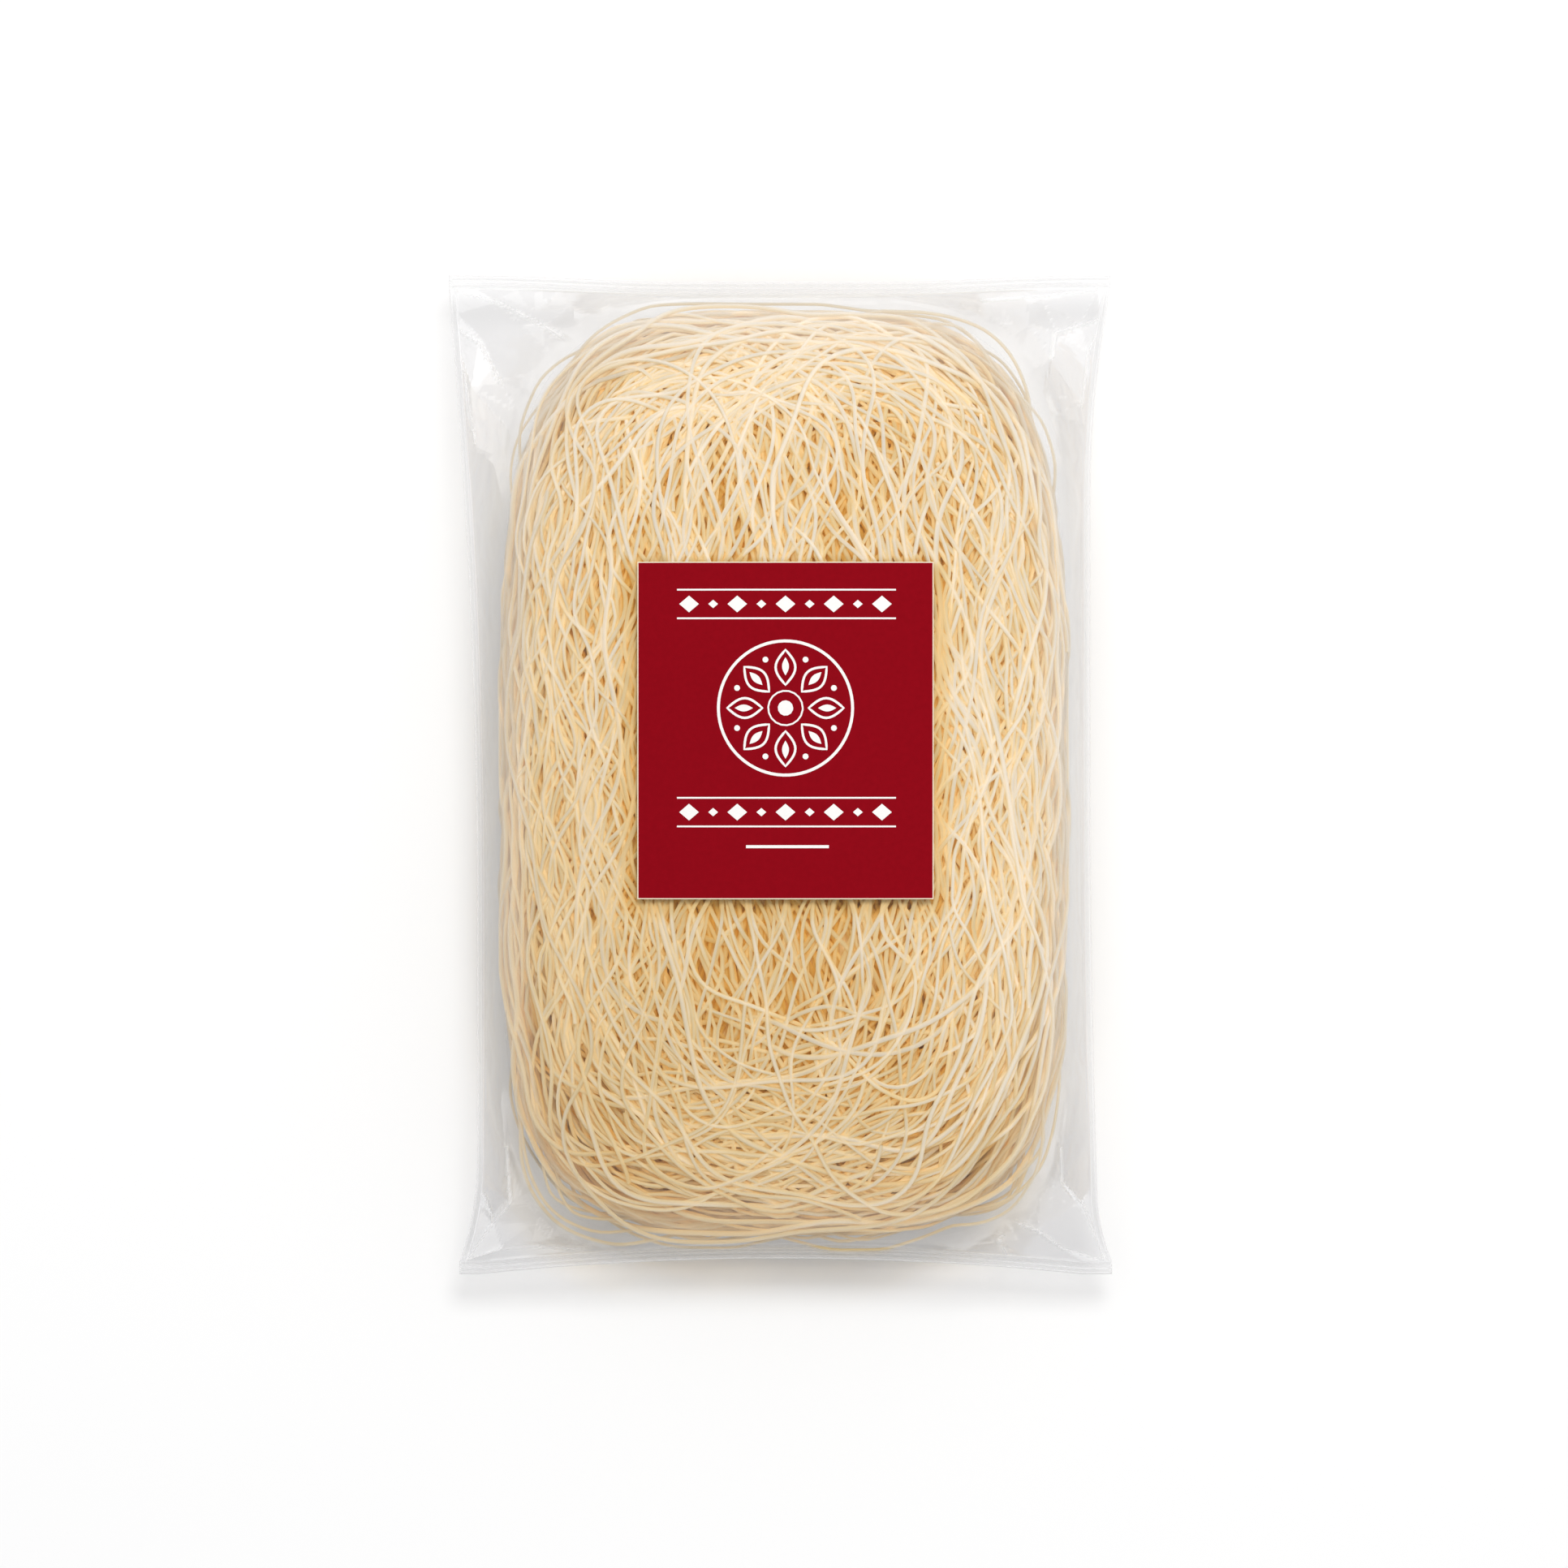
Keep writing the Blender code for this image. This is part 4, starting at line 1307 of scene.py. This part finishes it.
def colour_depth_with_painted_light(form, line, depth, lee, rim):
    """The depth that a noodle's colour goes by, with painted light and shade in it: lighter at the bundle's
    rim, where light reaches from the side too, and darker where the light that reaches the noodles in the lee
    of the light or in the label's shade has come through others."""
    low, high = PAINTED_RIM_LIGHT_HEIGHTS
    upper = smooth((line[:, 1] / form.bundle_half_length - low) / (high - low))
    painted_paling = PAINTED_RIM_PALING[0] + (PAINTED_RIM_PALING[1] - PAINTED_RIM_PALING[0]) * upper
    beside = np.maximum(LABEL_LOW.x - line[:, 0], line[:, 0] - LABEL_HIGH.x)
    below = LABEL_LOW.y - line[:, 1]
    shade = smooth(1.0 - below / LABEL_SHADE) * smooth(1.0 - beside / LABEL_SHADE)
    shade = shade * (line[:, 1] < LABEL_HIGH.y)
    return depth * (1.0 - painted_paling * rim) + PAINTED_LEE_SHADE_DEPTH * lee + PAINTED_LABEL_SHADOW_DEPTH * shade


def noodle_radii(draw, look, layer, count):
    """Noodles are uneven in thickness."""
    return look.radius * layer.stout * draw.uniform(*UNEVEN, count)


def build_noodles(form, look):
    """Every noodle that shows, from the deepest out: sides, back, the front's layers, loose ones."""
    draw = np.random.default_rng(look.seed)
    rest = look.radius + REST_GAP
    inset = look.radius + FILM_GAP
    square = Heap(form, inset, inset, (inset, inset), STRAY_SQUARENESS, rest)
    stack = Stack(BAG_LOW, BAG_HIGH, CLEARANCE)
    pieces = []

    def heap(share):
        return nested(form, look, share, inset, rest)

    def heaps(layer):
        return [heap(share) for share in np.linspace(*layer.nest, NESTED_HEAPS)]

    def add(layer, laid):
        radii = noodle_radii(draw, look, layer, len(laid))
        lines = []
        for line, normal, depth in laid:
            # Painted light and shade: each noodle's colour is lighter and its brightness higher at the rim,
            # and darker in the lee of the light and under the label.
            lee, rim = lee_of(form, line), rim_of(form, line)
            painted_colour_depth = layer.shade * colour_depth_with_painted_light(form, line, depth, lee, rim)
            lines.append((line, normal, painted_colour_depth, PAINTED_RIM_BRIGHTENING * rim - PAINTED_LEE_SHADE * lee))
        painted_edge_shade = PAINTED_EDGE_SHADE * (1.0 + layer.shade) / 2
        pieces.append(tubes(layer.name, lines, radii, layer.sides, layer.stride, painted_edge_shade, draw))

    flanks = []
    for share in SIDE_NEST:
        flanks += lay_sides(draw, stack, heap(share), look, SIDE_LAYER, SIDE_HEIGHTS)
    add(SIDE_LAYER, flanks)
    add(BACK_LAYER, lay_face(draw, stack, heaps(BACK_LAYER), look, BACK_LAYER, -1))
    for layer in FRONT_LAYERS:
        add(layer, lay_face(draw, stack, heaps(layer), look, layer, 1))
    add(LOOSE_LAYER, lay_sides(draw, stack, heap(0.0), look, LOOSE_LAYER, LOOSE_HEIGHTS))
    add(STRAY_LAYER, lay_sides(draw, stack, square, look, STRAY_LAYER, STRAY_HEIGHTS))
    return pieces


# ---------------------------------------------------------------- label

ROSETTE_CENTRE = (1.1 * MM, 13.5 * MM)
ROSETTE_RING = 13.6 * MM
PETALS = 8
PETAL_REACH = (4.7 * MM, 11.8 * MM)
PETAL_HALF_WIDTH = 2.0 * MM
PETAL_HEART = (6.6 * MM, 10.3 * MM)
PETAL_HEART_HALF_WIDTH = 0.7 * MM
LINE = 0.6 * MM
FINE_LINE = 0.35 * MM
BAND_CENTRES = (34.6 * MM, -7.6 * MM)
BAND_HALF_LENGTH = 22.0 * MM
BAND_HALF_HEIGHT = 2.9 * MM
LOZENGES = 9
LOZENGE = (2.0 * MM, 1.7 * MM)
SMALL_LOZENGE = (1.0 * MM, 0.85 * MM)
BAR_Y = -14.6 * MM
BAR_HALF_LENGTH = 8.0 * MM
PRINT_STEP = 1.2 * MM


def circle(centre, radius):
    """Points round a circle."""
    turn = np.arange(0.0, 2 * math.pi, PRINT_STEP / max(radius, 2 * PRINT_STEP))
    return [(centre[0] + radius * math.cos(t), centre[1] + radius * math.sin(t)) for t in turn]


def petal(angle, reach, half_width):
    """Points round a pointed petal of the rosette, counter-clockwise like those of every shape."""
    near, far = reach
    share = np.linspace(0.0, 1.0, 13)
    along = near + (far - near) * np.concatenate([share, share[-2:0:-1]])
    across = half_width * np.concatenate([np.sin(math.pi * share), -np.sin(math.pi * share[-2:0:-1])])
    ahead = np.array([math.cos(angle), math.sin(angle)])
    beside = np.array([-ahead[1], ahead[0]])
    return (np.array(ROSETTE_CENTRE) + along[:, None] * ahead + across[:, None] * beside)[::-1]


def lozenge(x, y, size):
    """The four corners of a lozenge."""
    return [(x + size[0], y), (x, y + size[1]), (x - size[0], y), (x, y - size[1])]


class Print:
    """Flat shapes of ink that are laid on the label."""

    def __init__(self):
        self.points, self.faces = [], []

    def line(self, points, width, closed=True):
        """A line of ink of even width."""
        points = np.array(points)
        after, before = np.roll(points, -1, axis=0), np.roll(points, 1, axis=0)
        if not closed:
            after[-1], before[0] = points[-1], points[0]
        ahead = unit(after - before)
        beside = np.stack([-ahead[:, 1], ahead[:, 0]], axis=1) * width / 2
        start, count = len(self.points), len(points)
        self.points += [*(points + beside), *(points - beside)]
        for k in range(count if closed else count - 1):
            left, beyond = start + k, start + (k + 1) % count
            self.faces.append((left, left + count, beyond + count, beyond))

    def patch(self, points):
        """A filled shape of ink."""
        middle, count = len(self.points), len(points)
        self.points += [np.mean(points, axis=0), *points]
        for k in range(count):
            self.faces.append((middle, middle + 1 + k, middle + 1 + (k + 1) % count))

    def lay(self, label, ink):
        """The ink as one thin mesh that follows the label's face."""
        heights = [label_top(label, x, y).z for x, y in self.points]
        places = [(x, y, z + rise) for rise in (-ink / 2, ink) for (x, y), z in zip(self.points, heights)]
        count = len(self.points)
        under = [(face[0], *face[:0:-1]) for face in self.faces]
        top = [tuple(k + count for k in face) for face in self.faces]
        edges = {edge: None for face in self.faces for edge in zip(face, (*face[1:], face[0]))}
        walls = [(a, b, b + count, a + count) for a, b in edges if (b, a) not in edges]
        mesh = bpy.data.meshes.new("label_print")
        mesh.from_pydata(places, [], under + top + walls)
        made = bpy.data.objects.new("label_print", mesh)
        bpy.context.scene.collection.objects.link(made)
        return made


def label_top(label, x, y):
    """The label's face at this X and Y."""
    hit, place, _, _ = label.ray_cast(Vector((x, y, LABEL_HIGH.z + 0.01)), Vector((0.0, 0.0, -1.0)))
    if not hit:
        raise RuntimeError(f"the print at {x}, {y} is off the label")
    return place


def draw_rosette(ink):
    """A ring with an eight-petalled flower in it."""
    ink.line(circle(ROSETTE_CENTRE, ROSETTE_RING), LINE)
    ink.line(circle(ROSETTE_CENTRE, PETAL_REACH[0] - 1.2 * MM), FINE_LINE)
    ink.patch(circle(ROSETTE_CENTRE, PETAL_REACH[0] / 3))
    for k in range(PETALS):
        angle = 2 * math.pi * k / PETALS
        ink.line(petal(angle, PETAL_REACH, PETAL_HALF_WIDTH), LINE * 0.8)
        ink.patch(petal(angle, PETAL_HEART, PETAL_HEART_HALF_WIDTH))
        between = angle + math.pi / PETALS
        away = PETAL_REACH[1] * 0.9
        ink.patch(circle((ROSETTE_CENTRE[0] + away * math.cos(between),
                          ROSETTE_CENTRE[1] + away * math.sin(between)), LINE))


def draw_band(ink, y):
    """A row of lozenges between two fine lines."""
    middle = ROSETTE_CENTRE[0]
    x = np.arange(-BAND_HALF_LENGTH, BAND_HALF_LENGTH + PRINT_STEP, PRINT_STEP) + middle
    for side in (-1, 1):
        ink.line([(place, y + side * BAND_HALF_HEIGHT) for place in x], FINE_LINE, closed=False)
    pitch = 2 * BAND_HALF_LENGTH / LOZENGES
    for k in range(LOZENGES):
        place = middle + (k - (LOZENGES - 1) / 2) * pitch
        ink.patch(lozenge(place, y, LOZENGE if k % 2 == 0 else SMALL_LOZENGE))


def build_print(label, look):
    """The label's ornament: a rosette between two bands, and a short bar below."""
    ink = Print()
    draw_rosette(ink)
    for y in BAND_CENTRES:
        draw_band(ink, y)
    x = np.arange(-BAR_HALF_LENGTH, BAR_HALF_LENGTH + PRINT_STEP, PRINT_STEP) + ROSETTE_CENTRE[0]
    ink.line([(place, BAR_Y) for place in x], LINE, closed=False)
    return ink.lay(label, look.ink)


def print_material(look):
    """White ink, a little uneven where it sank into the paper."""
    made, finish = material("label_ink")
    mottle = finish.noise(finish.add("TexCoord")["Object"], 1400.0, 3.0)
    white = finish.scaled(look.print_colour, finish.span(mottle, 0.94, 1.04))
    finish.principled({"Base Color": white, "Roughness": 0.5, "Specular IOR Level": 0.1})
    return made


def label_material(look):
    """Paper with an even deep red print, and bare cream paper along its cut edge."""
    made, finish = material("label_paper")
    place = finish.add("TexCoord")["Object"]
    middle = (LABEL_LOW + LABEL_HIGH) / 2
    half = (LABEL_HIGH - LABEL_LOW) / 2
    beside = finish.vector("ABSOLUTE", finish.vector("SUBTRACT", place, (middle.x, middle.y, 0.0)))
    face = (half.x - look.edge_width, half.y - look.edge_width, 0.0)
    past = finish.add("SeparateXYZ", {"Vector": finish.vector("SUBTRACT", beside, face)})
    cut = finish.math("GREATER_THAN", finish.math("MAXIMUM", past["X"], past["Y"]), 0.0)
    mottle = finish.noise(place, 900.0, 4.0)
    red = finish.scaled(look.paper_colour, finish.span(mottle, 0.9, 1.1))
    bump = finish.add("Bump", {"Height": mottle, "Strength": 0.08, "Distance": 0.05 * MM})["Normal"]
    finish.principled({
        "Base Color": finish.blend(cut, red, look.edge_colour), "Normal": bump,
        "Roughness": 0.5, "Specular IOR Level": 0.02})
    return made


# ---------------------------------------------------------------- operators

class NOODLEBAG_OT_film(bpy.types.Operator):
    """Build the clear film that replaces the bag's solid"""

    bl_idname = "noodle_bag.film"
    bl_label = "Build film"

    def execute(self, context):
        scene = context.scene
        film = build_film(scene.bag_form, scene.bag_film)
        film.data.materials.append(film_material(scene.bag_film))
        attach(film, "root")
        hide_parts("noodle_bag")
        return {"FINISHED"}


class NOODLEBAG_OT_noodles(bpy.types.Operator):
    """Build the bundle's dense inside and the noodles laid over it"""

    bl_idname = "noodle_bag.noodles"
    bl_label = "Build noodles"

    def execute(self, context):
        scene = context.scene
        look = scene.bag_noodles
        finish = noodle_material(look, "dried_noodle", look.glow, look.translucency)
        loose_finish = noodle_material(look, "loose_noodle", look.loose_glow, LOOSE_TRANSLUCENCY)
        core = build_core(scene.bag_form, look)
        core.data.materials.append(core_material(look))
        noodles = build_noodles(scene.bag_form, look)
        for piece in noodles:
            piece.data.materials.append(loose_finish if piece.name in RIM_PIECES else finish)
        for piece in [core, *noodles]:
            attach(piece, "root")
        return {"FINISHED"}


class NOODLEBAG_OT_label(bpy.types.Operator):
    """Finish the label's paper and print its ornament"""

    bl_idname = "noodle_bag.label"
    bl_label = "Finish label"

    def execute(self, context):
        look = context.scene.bag_label
        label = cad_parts["label"]
        label.data.materials.clear()
        label.data.materials.append(label_material(look))
        ornament = build_print(label, look)
        ornament.data.materials.append(print_material(look))
        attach(ornament, "root")
        return {"FINISHED"}


# How much brighter the sky is towards the right, beyond the top and overhead.
SKY_LEAN = (0.2, 0.28, -0.5)

# What the film's gloss shows: panels of these strengths, from where a noise over the sky reaches
# each value, and darkness straight overhead, between these heights of a direction's Z.
PANELS = ((0.0, 0.8), (0.43, 1.5), (0.63, 2.4))
PANEL_SCALE = 2.6
DARK_OVERHEAD = (0.80, 0.88)


class NOODLEBAG_OT_stage(bpy.types.Operator):
    """Set the floor, the lights and the camera"""

    bl_idname = "noodle_bag.stage"
    bl_label = "Set stage"

    def execute(self, context):
        scene = context.scene
        look = scene.bag_stage
        mesh = bpy.data.meshes.new("floor")
        mesh.from_pydata([(-4, -4, 0), (4, -4, 0), (4, 4, 0), (-4, 4, 0)], [], [(0, 1, 2, 3)])
        floor = bpy.data.objects.new("floor", mesh)
        scene.collection.objects.link(floor)
        made, finish = material("white_floor")
        finish.principled({"Base Color": [look.floor_white] * 3, "Roughness": 1.0, "Specular IOR Level": 0.0})
        mesh.materials.append(made)
        world = bpy.data.worlds.new("studio")
        world.use_nodes = True
        self.shade_sky(world.node_tree, look)
        scene.world = world
        self.add_light("overhead", (0.0, 0.0, 2.4), 2.4, look.overhead_power)
        self.add_light("key", (0.21, 0.84, 1.8), 0.6, look.key_power)
        camera = bpy.data.cameras.new("camera")
        camera.lens = look.lens
        camera.clip_end = 20.0
        eye = bpy.data.objects.new("camera", camera)
        distance = look.view_width * look.lens / camera.sensor_width
        eye.location = (0.8 * MM, -1.9 * MM, scene.bag_form.seam_height + distance)
        scene.collection.objects.link(eye)
        scene.camera = eye
        scene.view_settings.view_transform = "Standard"
        return {"FINISHED"}

    def shade_sky(self, tree, look):
        """A plain white tent that is brighter to the right and beyond the bag's top. In gloss it is a
        studio of white panels and darker gaps, which each flat facet of the film picks up singly."""
        sky = Finish(tree)
        way = sky.add("TexCoord")["Generated"]
        lean = sky.add("VectorMath", {0: way, 1: SKY_LEAN}, operation="DOT_PRODUCT")["Value"]
        level = sky.math("MULTIPLY_ADD", lean, look.world_strength, look.world_strength)
        darkest, brightest = PANELS[0][1], PANELS[-1][1]
        stops = [(start, [strength * look.gloss_sky / brightest] * 3) for start, strength in PANELS]
        panels = sky.ramp(sky.noise(way, PANEL_SCALE, 0.0), stops, "CONSTANT")
        overhead = sky.add("MapRange", {
            "Value": sky.add("SeparateXYZ", {"Vector": way})["Z"],
            "From Min": DARK_OVERHEAD[0], "From Max": DARK_OVERHEAD[1],
            "To Min": brightest, "To Max": darkest})["Result"]
        gloss = sky.math("MULTIPLY", panels, overhead)
        glossy = sky.add("LightPath")["Is Glossy Ray"]
        background = tree.nodes["Background"]
        sky.put(background.inputs["Strength"], sky.add("Mix", {0: glossy, 2: level, 3: gloss})[0])
        sky.put(background.inputs["Color"], (1.0, 1.0, 1.0))

    def add_light(self, name, place, size, power):
        """A light that faces the bag and stays out of its gloss."""
        data = bpy.data.lights.new(name, "AREA")
        data.size = size
        data.energy = power
        lamp = bpy.data.objects.new(name, data)
        lamp.location = place
        lamp.visible_glossy = False
        lamp.rotation_euler = (-Vector(place)).to_track_quat("-Z", "Y").to_euler()
        bpy.context.scene.collection.objects.link(lamp)


class NOODLEBAG_PT_panel(bpy.types.Panel):
    """Lists the bag's settings and the steps that build it"""

    bl_idname = "NOODLEBAG_PT_panel"
    bl_label = "Noodle bag"
    bl_space_type = "VIEW_3D"
    bl_region_type = "UI"
    bl_category = "Noodle bag"

    def draw(self, context):
        for title, name, settings in STEPS:
            box = self.layout.box()
            box.label(text=title)
            for key in getattr(context.scene, settings).bl_rna.properties.keys():
                if key not in ("rna_type", "name"):
                    box.prop(getattr(context.scene, settings), key)
            box.operator(name)


STEPS = (
    ("Film", "noodle_bag.film", "bag_film"),
    ("Noodles", "noodle_bag.noodles", "bag_noodles"),
    ("Label", "noodle_bag.label", "bag_label"),
    ("Stage", "noodle_bag.stage", "bag_stage"),
)
GROUPS = {
    "bag_form": BagForm,
    "bag_film": FilmLook,
    "bag_noodles": NoodleLook,
    "bag_label": LabelLook,
    "bag_stage": StageLook,
}
CLASSES = (
    *GROUPS.values(),
    NOODLEBAG_OT_film,
    NOODLEBAG_OT_noodles,
    NOODLEBAG_OT_label,
    NOODLEBAG_OT_stage,
    NOODLEBAG_PT_panel,
)


def register():
    for kind in CLASSES:
        bpy.utils.register_class(kind)
    for name, kind in GROUPS.items():
        setattr(bpy.types.Scene, name, PointerProperty(type=kind))


def unregister():
    for name in GROUPS:
        delattr(bpy.types.Scene, name)
    for kind in reversed(CLASSES):
        bpy.utils.unregister_class(kind)


def main():
    register()
    bpy.ops.noodle_bag.stage()
    bpy.ops.noodle_bag.label()
    bpy.ops.noodle_bag.noodles()
    bpy.ops.noodle_bag.film()


if __name__ == "__main__":
    main()
